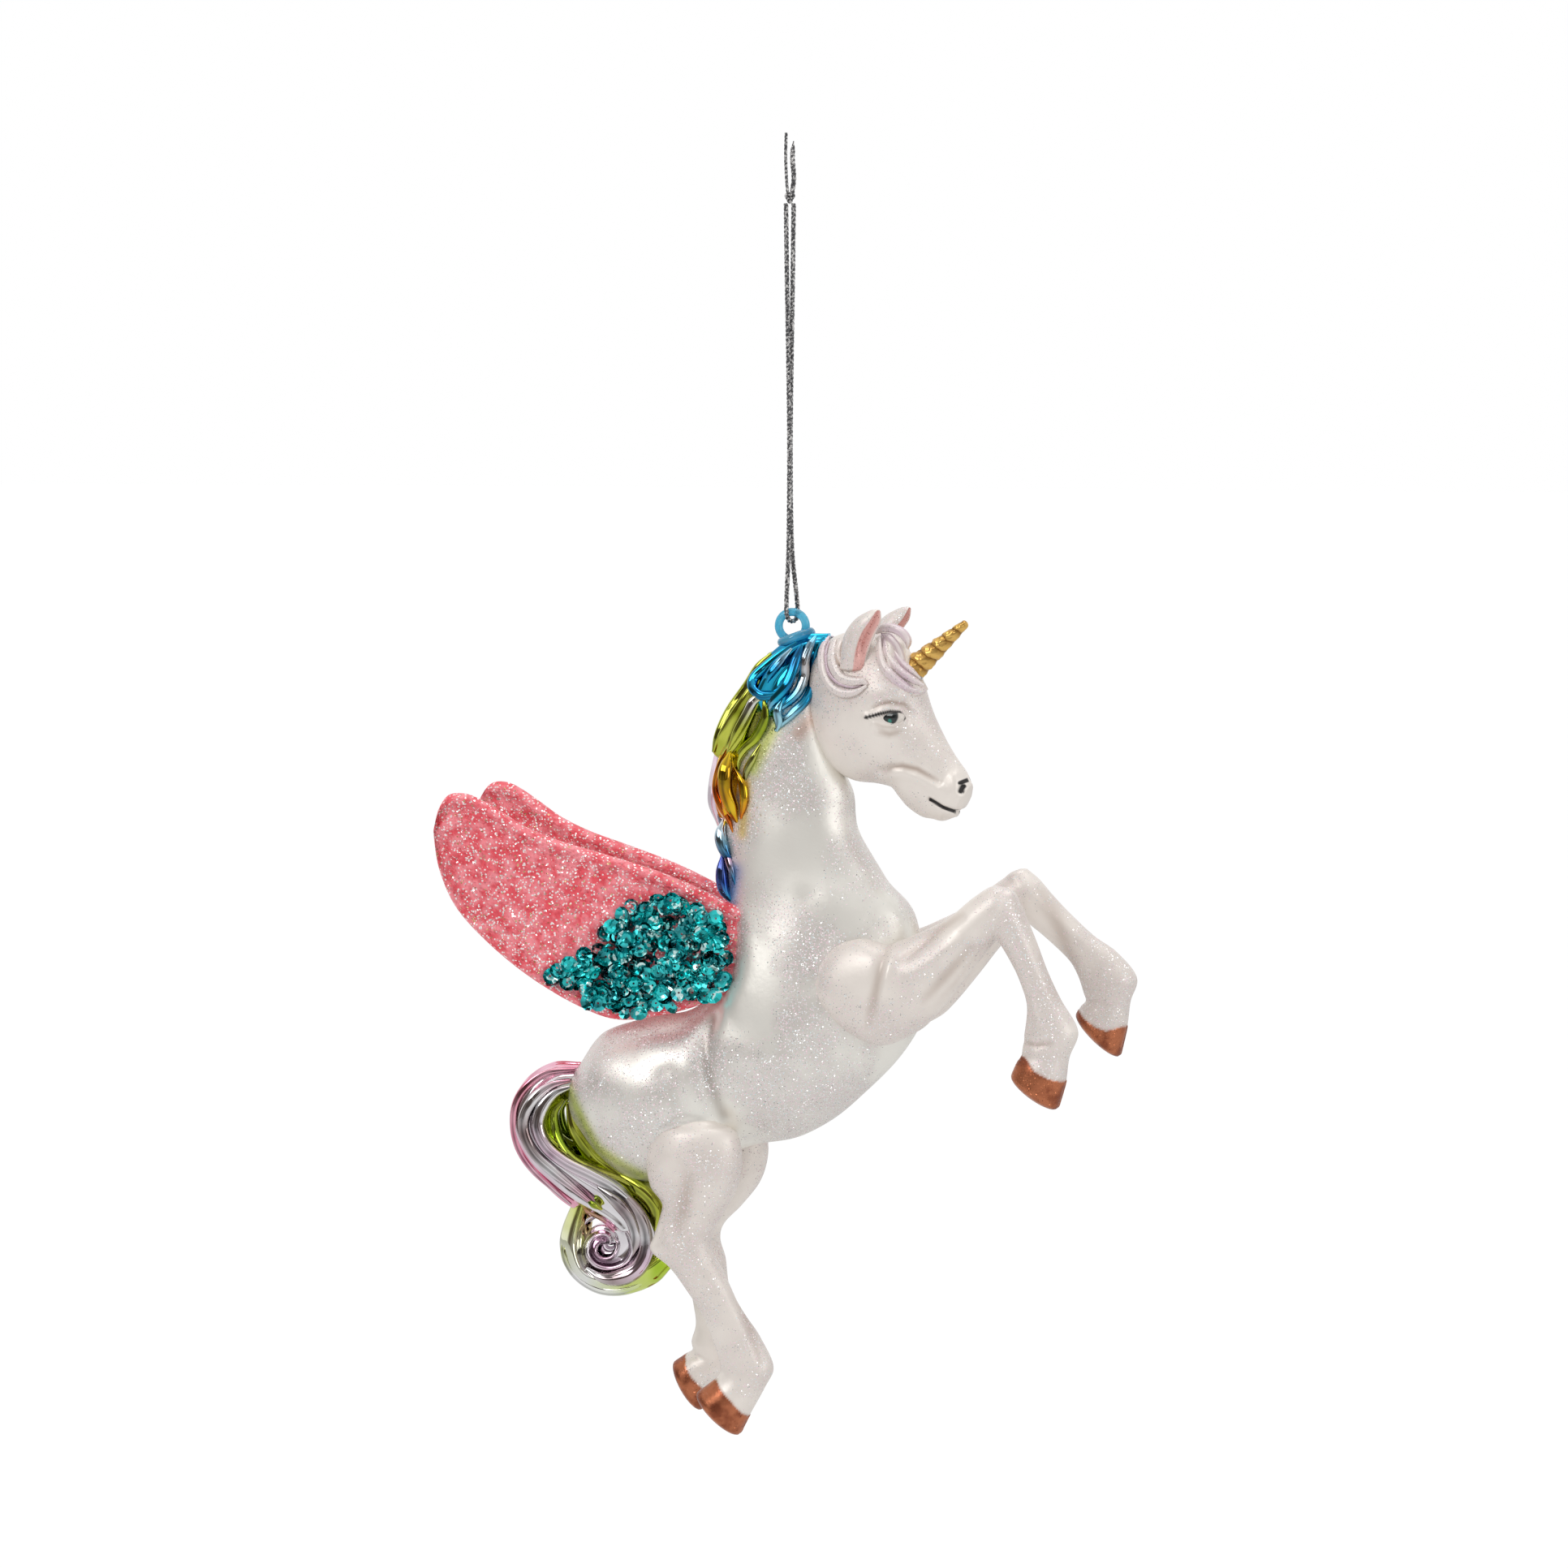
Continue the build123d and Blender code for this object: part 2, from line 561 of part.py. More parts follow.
# Sequins: small faceted cups with a hole, in a staggered layout inside the patch
with BuildSketch() as patch:
    with BuildLine():
        Polyline([(along * wing_length, up * wing_length) for along, up in patch_outline_shares], close=True)
    make_face()
patch_middle = Location((patch_middle_share[0] * wing_length, patch_middle_share[1] * wing_length))
with Locations(patch_middle):
    sequin_grid = HexLocations(
        (sequin_diameter + sequin_spacing) / 2, sequin_columns, sequin_rows
    ).locations
sequin_places = [place for place in sequin_grid if patch.face().is_inside(place.position)]

sequin_rise = (sequin_diameter - sequin_foot_diameter) / 2 * cos(pi / sequin_sides)
with BuildPart() as sequin:
    with BuildSketch():
        RegularPolygon(sequin_diameter / 2, sequin_sides)
    extrude(amount=sequin_height)
    foot = sequin.faces().sort_by(Axis.Z)[0]
    chamfer(foot.edges(), sequin_height - sequin_lip, sequin_rise, reference=foot)
    with BuildSketch():
        RegularPolygon(sequin_bore / 2, sequin_bore_sides)
    extrude(amount=sequin_height, mode=Mode.SUBTRACT)

outer_face_plane = wing_plane.offset(wing_thickness / 2)
with BuildPart() as left_wing_sequins:
    with Locations(*[outer_face_plane.location * place for place in sequin_places]):
        add(sequin.part)
left_wing_sequins.part.label = "left_wing_sequins"

with BuildPart() as right_wing_sequins:
    mirror(left_wing_sequins.part, about=Plane.XZ)
right_wing_sequins.part.label = "right_wing_sequins"

# Cord: both strands hang from the knot, lie side by side, then part and go round the ring's bar
yaw = radians(bight_yaw)
bight_radius = ring_bar_radius / cos(yaw) + cord_diameter / 2 + bight_clearance
bight_bottom = ring_centre + Vector(0, 0, ring_path_radius - bight_radius)
bight_reach = Vector(sin(yaw), cos(yaw), 0) * bight_radius
left_strand_route = [
    Vector(0.60, 0.15, 0),
    Vector(0.42, 0.10, -19.4),
    Vector(0.45, 0.25, -54.0),
    bight_bottom + bight_reach,
]
right_strand_route = [
    Vector(-0.60, -0.15, 0),
    Vector(-0.42, -0.10, -19.4),
    Vector(-0.40, -0.25, -54.0),
    bight_bottom - bight_reach,
]
loop_route = right_strand_route + left_strand_route[::-1]


def corner_radii(route):
    """Radius of each corner of a route: a share of the shorter run over the tangent of half the turn."""
    radii = []
    for before, corner, after in zip(route, route[1:], route[2:]):
        shorter = min((corner - before).length, (after - corner).length)
        half_turn = radians((corner - before).get_angle(after - corner) / 2)
        radii.append(corner_run_share * shorter / tan(half_turn))
    return radii


def cord_tube(route, radii):
    """Round cord along straight runs that tangent arcs join."""
    with BuildPart() as tube:
        with BuildLine() as path:
            if radii:
                FilletPolyline(*route, radius=radii)
            else:
                Line(*route)
        start = path.wire() @ 0
        with BuildSketch(Plane(origin=start, z_dir=path.wire() % 0)):
            RegularPolygon(cord_diameter / 2, cord_sides)
        sweep(path=path.wire())
    length = path.wire().length
    section_area = cord_sides / 2 * (cord_diameter / 2) ** 2 * sin(2 * pi / cord_sides)
    print("cord length", round(length, 2), "radii", [round(radius, 2) for radius in radii])
    print("volume over section times length", round(tube.part.volume / (section_area * length), 4))
    return tube.part


loop_radii = corner_radii(loop_route)
loop_radii[2] = bight_radius
loop_radii[3] = bight_radius
loop_tube = cord_tube(loop_route, loop_radii)
with BuildPart() as cord_loop:
    add(loop_tube)
cord_loop.part.label = "cord_loop"

# Knot: a core with two slanting turns round it, flat where the strands and the cut ends meet it
knot_middle = Vector(0, 0, knot_height / 2)
with BuildPart() as cord_knot:
    with Locations(knot_middle):
        Cylinder(knot_core_diameter / 2, knot_height)
    for tilt in (-knot_tilt, knot_tilt):
        turn_plane = Plane(Location(knot_middle, (tilt, 0, 0)))
        turn_start = turn_plane.from_local_coords((knot_turn_diameter / 2, 0, 0))
        with BuildSketch(Plane(origin=turn_start, z_dir=turn_plane.y_dir)):
            RegularPolygon(cord_diameter / 2, cord_sides)
        revolve(axis=Axis(knot_middle, turn_plane.z_dir))
    split(bisect_by=Plane.XY, keep=Keep.TOP)
    split(bisect_by=Plane.XY.offset(knot_height), keep=Keep.BOTTOM)
cord_knot.part.label = "cord_knot"

# Cut ends of the cord above the knot, leaning a little apart
tail_tubes = [
    cord_tube(
        [Vector(way * tail_foot_reach, 0, knot_height), Vector(way * reach, 0, knot_height + length)], []
    )
    for way, reach, length in (
        (-1, rear_tail_reach, rear_tail_length),
        (1, front_tail_reach, front_tail_length),
    )
]
with BuildPart() as cord_tails:
    add(tail_tubes)
cord_tails.part.label = "cord_tails"

os.makedirs("parts", exist_ok=True)
pieces = [
    hanger_cap, glass_body, head, horn, right_foreleg, left_foreleg, right_hind_leg, left_hind_leg,
    left_wing, right_wing, left_wing_sequins, right_wing_sequins, cord_loop, cord_knot, cord_tails,
]
for piece in pieces:
    export_step(piece.part, f"parts/{piece.part.label}.step")
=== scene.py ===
# %% [markdown]
# # A winged unicorn ornament of silvered glass
#
# The ornament hangs by a metallic cord. Its trunk, neck, mane and tail are one blown glass form, silvered
# inside and lacquered outside, and the head, horn, legs and wings are castings glued to it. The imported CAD
# model gives every piece its place. This file dresses it, one piece per step.

import bpy
import numpy as np
from mathutils import Matrix, Vector
from mathutils.bvhtree import BVHTree


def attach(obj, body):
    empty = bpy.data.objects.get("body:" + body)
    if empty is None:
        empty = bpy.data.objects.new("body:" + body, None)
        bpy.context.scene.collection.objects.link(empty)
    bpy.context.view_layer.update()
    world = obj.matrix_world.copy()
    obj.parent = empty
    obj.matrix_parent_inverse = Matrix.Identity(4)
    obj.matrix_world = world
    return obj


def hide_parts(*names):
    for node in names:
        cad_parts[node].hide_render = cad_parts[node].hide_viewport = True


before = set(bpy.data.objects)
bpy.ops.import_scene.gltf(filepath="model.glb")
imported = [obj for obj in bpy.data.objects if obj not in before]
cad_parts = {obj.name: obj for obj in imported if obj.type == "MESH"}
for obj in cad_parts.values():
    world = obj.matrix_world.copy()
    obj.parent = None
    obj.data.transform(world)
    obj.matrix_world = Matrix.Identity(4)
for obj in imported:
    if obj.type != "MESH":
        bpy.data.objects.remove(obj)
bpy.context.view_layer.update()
MM = 0.001


def in_scene(name, data):
    """New object of the given data, linked to the scene."""
    placed = bpy.data.objects.new(name, data)
    bpy.context.scene.collection.objects.link(placed)
    return placed


# %% [markdown]
# ## The camera
#
# A product photograph like this one is taken from far away with a long lens, so that the ornament isn't
# distorted. The camera stands 1.1 m off, 12 degrees towards the tail from square on and 4 degrees above.
# Its direction gives its three axes, which are the columns of its rotation matrix.

# %% Camera
azimuth, elevation = np.radians(12), np.radians(4)
looked_at, camera_distance = Vector((-0.00093, 0, -0.0905)), 1.1
towards_camera = Vector(
    (np.sin(azimuth) * np.cos(elevation), -np.cos(azimuth) * np.cos(elevation), np.sin(elevation))
)
camera_data = bpy.data.cameras.new("camera")
camera_data.lens, camera_data.sensor_width = 161.4, 36
camera = in_scene("camera", camera_data)
camera_right = Vector((0, 0, 1)).cross(towards_camera).normalized()
camera_up = towards_camera.cross(camera_right)
camera.matrix_world = Matrix.Translation(looked_at + camera_distance * towards_camera) @ Matrix(
    (camera_right, camera_up, towards_camera)
).transposed().to_4x4()
bpy.context.scene.camera = camera
bpy.context.scene.view_settings.view_transform = "Standard"
print("camera at", [round(value, 3) for value in camera.matrix_world.translation])

# %% [markdown]
# ## Shader nodes in a few words
#
# A material is a tree of nodes. Small helpers keep the cells short: each adds a node, sets its inputs by
# name and hands on what comes out of it. An input may be a plain value or the output of another node.

# %% Helpers for nodes
def connect(tree, socket, value):
    """Links an output to an input, or writes a plain value into it."""
    if isinstance(value, bpy.types.NodeSocket):
        tree.links.new(value, socket)
    else:
        socket.default_value = value


def add_node(tree, kind, inputs=None, **settings):
    """A node of the given kind; settings go on the node, inputs are values or outputs of other nodes."""
    node = tree.nodes.new(kind)
    for name, value in settings.items():
        setattr(node, name, value)
    for name, value in (inputs or {}).items():
        connect(tree, node.inputs[name], value)
    return node


def arithmetic(tree, operation, *values, clamp=False):
    """Output of a Math node on one to three values."""
    settings = {"operation": operation, "use_clamp": clamp}
    return add_node(tree, "ShaderNodeMath", dict(enumerate(values)), **settings).outputs[0]


def mixed_colour(tree, factor, first, second, blend="MIX"):
    """Output of a colour Mix node: first where the factor is 0, second where it is 1."""
    settings = {"data_type": "RGBA", "blend_type": blend}
    return add_node(tree, "ShaderNodeMix", {0: factor, 6: first, 7: second}, **settings).outputs[2]


def soft_step(tree, value, start, end):
    """0 before start and 1 after end, with a smooth rise between."""
    return add_node(tree, "ShaderNodeMapRange", {"Value": value, "From Min": start, "From Max": end},
                    interpolation_type="SMOOTHSTEP").outputs[0]


def noise(tree, scale, detail):
    """Output of a noise texture that is fixed to the piece."""
    place = add_node(tree, "ShaderNodeTexCoord").outputs["Object"]
    inputs = {"Vector": place, "Scale": scale, "Detail": detail}
    return add_node(tree, "ShaderNodeTexNoise", inputs).outputs[0]


def stored(tree, name, output="Fac"):
    """What a piece's points keep under a name; 0 where they keep nothing."""
    return add_node(tree, "ShaderNodeAttribute", attribute_name=name).outputs[output]


def rippled(tree, height, distance, strength, **normal):
    """Normal that follows a pattern of heights, distance being the height of its hills in metres."""
    inputs = {"Height": height, "Distance": distance, "Strength": strength, **normal}
    return add_node(tree, "ShaderNodeBump", inputs).outputs[0]


def give(tree, shader, **inputs):
    """Values or outputs for a shader's inputs; an underscore stands for a space."""
    for name, value in inputs.items():
        connect(tree, shader.inputs[name.replace("_", " ")], value)


def new_material(name, **inputs):
    """Material with a Principled shader that has the given inputs, and the tree it stands in."""
    material = bpy.data.materials.new(name)
    material.use_nodes = True
    shader = material.node_tree.nodes["Principled BSDF"]
    give(material.node_tree, shader, **inputs)
    return material, material.node_tree, shader


# %% [markdown]
# ## The studio
#
# The photograph has a pure white ground and soft light. White comes from what the camera's rays see, not
# from more light: the world is white to them, and dimmer to the rays that light the ornament. Silvered
# glass mostly shows its surroundings, so glossy rays meet a studio with pale walls behind the ornament, a
# darker room on the side of the photographer, and bright soft boxes. Those directions are the world's, so
# they stay put when the camera moves.

# %% World
def seen_straight(tree):
    """1 for rays that come from the camera, also through glass, and 0 for rays that only carry light."""
    ray = add_node(tree, "ShaderNodeLightPath").outputs
    return arithmetic(tree, "MAXIMUM", ray["Is Camera Ray"], ray["Is Transmission Ray"])


world = bpy.data.worlds.new("studio")
bpy.context.scene.world = world
world.use_nodes = True
sky = world.node_tree
direction = add_node(sky, "ShaderNodeTexCoord").outputs["Generated"]
towards = add_node(sky, "ShaderNodeSeparateXYZ", {0: direction}).outputs
wall = soft_step(sky, towards["Y"], -0.30, 0.25)
band = add_node(sky, "ShaderNodeTexNoise", {"Scale": 1.7, "Detail": 1.0}).outputs[0]
overhead = arithmetic(sky, "MULTIPLY", soft_step(sky, towards["Z"], 0.35, 0.75), 0.95)
lit_part = arithmetic(sky, "MULTIPLY_ADD", soft_step(sky, band, 0.42, 0.58), 0.50, 0.04)
lit_part = arithmetic(sky, "MULTIPLY_ADD", wall, 0.75, lit_part)
lit_part = arithmetic(sky, "MAXIMUM", lit_part, overhead, clamp=True)
white, ambient, dark_room = (1, 1, 1, 1), (0.62, 0.62, 0.62, 1), (0.10, 0.072, 0.060, 1)
glossy = add_node(sky, "ShaderNodeLightPath").outputs["Is Glossy Ray"]
colour = mixed_colour(sky, glossy, ambient, mixed_colour(sky, lit_part, dark_room, white))
backdrop = add_node(sky, "ShaderNodeBackground", {
    "Color": mixed_colour(sky, seen_straight(sky), colour, white), "Strength": 1.0}, name="studio light")
sky.links.new(backdrop.outputs[0], sky.nodes["World Output"].inputs[0])
print("world:", len(sky.nodes), "nodes")

# %% [markdown]
# ## The floor and the lamps
#
# White paper lies under and behind the ornament and throws soft light up at it. To the camera it is mostly
# a white light, so that no edge or shadow shows where it ends. Three soft boxes light the ornament: the key
# from the left in front, a weaker fill from the right and one from above.

# %% Floor and lamps
floor_height = -0.30
floor_mesh = bpy.data.meshes.new("floor")
floor_corners = [(x, y, floor_height) for x, y in ((-6, -3), (6, -3), (6, 9), (-6, 9))]
floor_mesh.from_pydata(floor_corners, [], [(0, 1, 2, 3)])
floor = in_scene("floor", floor_mesh)
paper, tree, shader = new_material("white paper", Base_Color=(0.82, 0.82, 0.82, 1), Roughness=0.9)
white_ground = add_node(tree, "ShaderNodeEmission", {"Color": white, "Strength": 1.13})
ground = add_node(tree, "ShaderNodeMixShader", {
    0: arithmetic(tree, "MULTIPLY", seen_straight(tree), 0.8),
    1: shader.outputs[0], 2: white_ground.outputs[0]})
tree.links.new(ground.outputs[0], tree.nodes["Material Output"].inputs["Surface"])
floor_mesh.materials.append(paper)
lamps_face = Vector((0, 0, -0.12))


def soft_box(name, place, size, power):
    """Square area lamp of a size in metres that faces the middle of the ornament."""
    lamp = bpy.data.lights.new(name, "AREA")
    lamp.shape, lamp.size, lamp.energy = "SQUARE", size, power
    box = in_scene(name, lamp)
    box.location = place
    box.rotation_euler = (Vector(place) - lamps_face).to_track_quat("Z", "Y").to_euler()


soft_box("key soft box", (-0.55, -0.95, 0.55), 0.55, 3.7)
soft_box("fill soft box", (1.05, -0.55, 0.15), 0.55, 1.7)
soft_box("top soft box", (0.10, 0.15, 1.0), 0.70, 3.2)
print("lamps:", [light.name for light in bpy.data.lights])

# %% [markdown]
# ## Surfaces as grids
#
# Every form below is a grid of points worked out with numpy: one direction runs along the form, the other
# round it. A short table gives cross-sections as shares of the form's length and width, the same ones as the
# CAD model's. A cubic curve through the rows makes them smooth, and each point on a row is
# centre + cos(turn) x half depth + sin(turn) x half width.

# %% Grid helpers
end_rows = 6  # rows that close each end of a form


def turns(count):
    """Angles that go evenly once round."""
    return np.linspace(0, 2 * np.pi, count, endpoint=False)


def unit(vectors):
    """The same directions with length 1."""
    return vectors / np.linalg.norm(vectors, axis=-1, keepdims=True)


def running_length(points):
    """Length of a line of points up to each of them."""
    return np.concatenate([[0], np.cumsum(np.linalg.norm(np.diff(points, axis=0), axis=1))])


def evenly_along(points, count):
    """Points a steady step apart on the same line, read off its running length."""
    run = running_length(points)
    places = np.linspace(0, run[-1], count)
    return np.stack([np.interp(places, run, channel) for channel in points.T], 1)


def smooth_rows(rows, count):
    """Cubic (Catmull-Rom) curve through the rows of a table, read at evenly spread places."""
    rows = np.asarray(rows, float)
    padded = np.vstack([2 * rows[0] - rows[1], rows, 2 * rows[-1] - rows[-2]])
    place = np.linspace(0, len(rows) - 1, count)
    first = np.minimum(place.astype(int), len(rows) - 2)
    step = (place - first)[:, None]
    a, b, c, d = (padded[first + k] for k in range(4))
    return b + step / 2 * (c - a + step * (2 * a - 5 * b + 4 * c - d + step * (3 * (b - c) + d - a)))


def rounded_ends(grid, bulge):
    """Adds rows that close each end like a quarter circle: the row shrinks by cos and moves out by sin."""
    angle = np.linspace(0, np.pi / 2, end_rows + 1)[1:, None, None]
    caps = []
    for row, inner in ((grid[0], grid[2]), (grid[-1], grid[-3])):
        centre = row.mean(0)
        outwards = unit(centre - inner.mean(0))
        radius = np.linalg.norm(row - centre, axis=1).min()
        caps.append(centre + (row - centre)[None] * np.maximum(np.cos(angle), 0.02)
                    + outwards * np.sin(angle) * radius * bulge)
    return np.concatenate([caps[0][::-1], grid, caps[1]])


def oval_skin(table, seat, length, width, rows, around, side=1, swell=None, bulge=0.35):
    """Grid of a form from its table; swell(along, turn) multiplies the distance from the middle."""
    flat = smooth_rows([(*front, *back, half, sideways) for front, back, half, sideways in table], rows)
    front = seat + np.stack([flat[:, 0] * length, side * flat[:, 5] * width, flat[:, 1] * length], 1)
    back = seat + np.stack([flat[:, 2] * length, side * flat[:, 5] * width, flat[:, 3] * length], 1)
    turn = turns(around)
    depth = ((front - back) / 2)[:, None] * np.cos(turn)[None, :, None]
    breadth = (flat[:, 4] * width)[:, None, None] * np.sin(turn)[None, :, None] * np.array([0, 1, 0])
    spread = depth + breadth
    if swell is not None:
        spread = spread * swell(np.linspace(0, 1, rows)[:, None], turn[None, :])[..., None]
    return rounded_ends((front + back)[:, None] / 2 + spread, bulge)


def with_ends(values):
    """Values of a grid's points, carried on over the rounded ends and the two closing points."""
    full = np.concatenate([np.repeat(values[:1], end_rows, 0), values, np.repeat(values[-1:], end_rows, 0)])
    flat = full.reshape(-1, *full.shape[2:])
    return np.concatenate([flat, flat[:1], flat[-1:]])


# %% [markdown]
# ## From grids to pieces
#
# A mesh is a list of points and the corner numbers of its faces. A shell is one closed form as (points,
# quads, triangles), in millimetres. A piece joins one or more shells, has one material, rides on a body and
# may keep a number or a colour for each of its points, which the material reads.

# %% Mesh helpers
no_triangles = np.zeros((0, 3), int)


def grid_faces(rows, around):
    """Corner numbers of a tube's quads, row after row; the last column is joined to the first."""
    row, column = np.meshgrid(np.arange(rows - 1), np.arange(around), indexing="ij")
    here, beside = row * around + column, row * around + (column + 1) % around
    return np.stack([here, beside, beside + around, here + around], -1).reshape(-1, 4)


def ring_faces(rows, around):
    """Quads of a grid that is closed both ways, like a ring's: its last row joins the first."""
    column = np.arange(around)
    beside, last_row = (column + 1) % around, (rows - 1) * around
    last = np.stack([last_row + column, last_row + beside, beside, column], 1)
    return np.concatenate([grid_faces(rows, around), last])


def closed_grid(grid):
    """Shell of a tube-like grid, closed by triangles round a point in the middle of each end."""
    rows, around = grid.shape[:2]
    points = np.concatenate([grid.reshape(-1, 3), grid[0].mean(0)[None], grid[-1].mean(0)[None]])
    column = np.arange(around)
    beside, count = (column + 1) % around, rows * around
    first = np.stack([beside, column, np.full(around, count)], 1)
    last_row = (rows - 1) * around
    last = np.stack([last_row + column, last_row + beside, np.full(around, count + 1)], 1)
    return points, grid_faces(rows, around), np.concatenate([first, last])


def facing_out(points, quads, triangles):
    """Faces turned so that the closed shell's volume, a sixth of the sum of a . (b x c), is positive."""
    split = np.concatenate([quads[:, [0, 1, 2]], quads[:, [0, 2, 3]], triangles])
    a, b, c = (points[split[:, k]] for k in range(3))
    way = -1 if np.einsum("ij,ij->i", a, np.cross(b, c)).sum() < 0 else 1
    return quads[:, ::way], triangles[:, ::way]


def joined(shells, scale=1.0):
    """Several closed shells in one numbering, each with its faces pointing outwards."""
    offset, points, quads, triangles = 0, [], [], []
    for shell in shells:
        shell_quads, shell_triangles = facing_out(*shell)
        points.append(shell[0] * scale)
        quads.append(shell_quads + offset)
        triangles.append(shell_triangles + offset)
        offset += len(shell[0])
    return np.concatenate(points), np.concatenate(quads), np.concatenate(triangles)


def fill_mesh(mesh, points, quads, triangles):
    """Writes whole arrays of points, quads and triangles into a mesh."""
    mesh.vertices.add(len(points))
    mesh.vertices.foreach_set("co", np.ascontiguousarray(points, dtype=np.float32).ravel())
    corners = np.concatenate([quads.ravel(), triangles.ravel()]).astype(np.int32)
    starts = np.concatenate([np.arange(len(quads)) * 4, len(quads) * 4 + np.arange(len(triangles)) * 3])
    mesh.loops.add(len(corners))
    mesh.loops.foreach_set("vertex_index", corners)
    mesh.polygons.add(len(starts))
    mesh.polygons.foreach_set("loop_start", starts.astype(np.int32))
    mesh.update(calc_edges=True)
    mesh.polygons.foreach_set("use_smooth", np.ones(len(starts), bool))


def points_of(mesh):
    """All points of a mesh as one array."""
    points = np.empty(len(mesh.vertices) * 3, np.float32)
    mesh.vertices.foreach_get("co", points)
    return points.reshape(-1, 3).astype(float)


def store_attribute(mesh, key, values):
    """Keeps one number, or one colour of three shares, for each point of a mesh."""
    values = np.asarray(values, np.float32)
    if values.ndim == 1:
        mesh.attributes.new(key, "FLOAT", "POINT").data.foreach_set("value", values)
    else:
        colours = np.concatenate([values, np.ones((len(values), 1), np.float32)], 1)
        mesh.attributes.new(key, "FLOAT_COLOR", "POINT").data.foreach_set("color", colours.ravel())


def new_piece(name, shells, material, body="unicorn", attributes=None, faceted=False):
    """Object from closed shells of (points in mm, quads, triangles), with one value or colour per point."""
    mesh = bpy.data.meshes.new(name)
    fill_mesh(mesh, *joined(shells, MM))
    for key, values in (attributes or {}).items():
        store_attribute(mesh, key, values)
    if faceted:
        mesh.shade_flat()
    piece = in_scene(name, mesh)
    mesh.materials.append(material)
    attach(piece, body)
    print(name, "points", len(mesh.vertices))
    return piece


# %% [markdown]
# ## Modelling with soft bumps and grooves
#
# A caster presses muscles, lids and folds into wax with a few tools. Here each is a number added along the
# surface's normal: a bump falls off like a bell round a place, and a groove like a bell round a line of
# straight runs in the side view. Adding their heights gives the whole relief in one move.

# %% Relief helpers
def ramp(values, start, end):
    """0 before start, 1 after end, smooth between: 3 s squared minus 2 s cubed."""
    share = np.clip((values - start) / (end - start), 0, 1)
    return share * share * (3 - 2 * share)


def bell(distance, width):
    """1 in the middle, falling as e to the minus squared distance in widths."""
    return np.exp(-(distance / width) ** 2)


def twin_bumps(points, place, reach, height):
    """Bell-shaped bump on both sides of the middle plane; reach has one length for each axis."""
    x, y, z = place
    return sum(height * np.exp(-(((points - np.array((x, side * y, z))) / np.array(reach)) ** 2).sum(-1))
               for side in (-1, 1))


def side_view(points):
    """Places of points as seen square on from the side: forwards and up."""
    return points[:, [0, 2]]


def along_line(points, stops):
    """Distance in the side view to the nearest run between stops, and the share of the line before it."""
    flat, stops = side_view(points), np.array(stops, float)
    lengths = np.linalg.norm(np.diff(stops, axis=0), axis=1)
    before = running_length(stops)
    nearest, share = np.full(len(flat), np.inf), np.zeros(len(flat))
    for k, (start, end) in enumerate(zip(stops, stops[1:])):
        on_run = np.clip((flat - start) @ (end - start) / lengths[k] ** 2, 0, 1)
        distance = np.linalg.norm(flat - start - on_run[:, None] * (end - start), axis=1)
        share = np.where(distance < nearest, (before[k] + on_run * lengths[k]) / before[-1], share)
        nearest = np.minimum(nearest, distance)
    return nearest, share


def haze(points, stops, reach):
    """1 on a line in the side view, falling like a bell over a reach."""
    return bell(along_line(points, stops)[0], reach)


def drawn(points, stops, inner, outer):
    """Brush line in the side view: 1 up to the inner distance, 0 beyond the outer one."""
    return 1 - ramp(along_line(points, stops)[0], inner, outer)


def faded_line(points, stops, width):
    """Bell round a line in the side view that fades out towards both ends."""
    distance, share = along_line(points, stops)
    return bell(distance, width) * np.sin(np.pi * np.clip(share, 0, 1)) ** 0.6


def groove(points, stops, width, height, side=0, clear=0.6, faded=False):
    """Bell-shaped ridge or groove along stops (x, z); side keeps it to one side of the middle plane."""
    profile = faded_line(points, stops, width) if faded else haze(points, stops, width)
    off_middle = points[:, 1] * side if side else np.abs(points[:, 1])
    return height * profile * ramp(off_middle, clear / 2, clear)


def normals_of(points, quads, triangles):
    """Unit normal of each point, from a mesh that is made for this and removed again."""
    mesh = bpy.data.meshes.new("measuring")
    fill_mesh(mesh, points, *facing_out(points, quads, triangles))
    normals = np.empty(len(points) * 3, np.float32)
    mesh.vertex_normals.foreach_get("vector", normals)
    bpy.data.meshes.remove(mesh)
    return normals.reshape(-1, 3)


def pressed(shell, relief):
    """Shell moved along its normals by relief(points), in millimetres."""
    points, quads, triangles = shell
    return points + normals_of(*shell) * relief(points)[:, None], quads, triangles


def melted(shells, voxel, smoothing):
    """One closed skin round overlapping shells: a voxel remesh in millimetres, then a few smoothing steps."""
    mesh = bpy.data.meshes.new("melting")
    fill_mesh(mesh, *joined(shells))
    blank = in_scene("melting", mesh)
    remesh = blank.modifiers.new("remesh", "REMESH")
    remesh.mode, remesh.voxel_size = "VOXEL", voxel
    soften = blank.modifiers.new("soften", "SMOOTH")
    soften.factor, soften.iterations = 0.5, smoothing
    skin = bpy.data.meshes.new_from_object(blank.evaluated_get(bpy.context.evaluated_depsgraph_get()))
    points = points_of(skin)
    corners = np.empty(len(skin.loops), np.int32)
    skin.loops.foreach_get("vertex_index", corners)
    bpy.data.objects.remove(blank)
    for used in (mesh, skin):
        bpy.data.meshes.remove(used)
    return points, corners.reshape(-1, 4), no_triangles


# %% [markdown]
# ## Hair laid on its carrier
#
# A lock of hair is placed by where the photograph shows it, but it has to lie on the head, neck or tail. So
# each stop of its line is a column and a row of the photograph and a lift in millimetres: a ray along y
# finds the surface there, and the strand's middle stands off it by the lift. The strand itself is a tapered
# oval tube with narrow combed grooves.

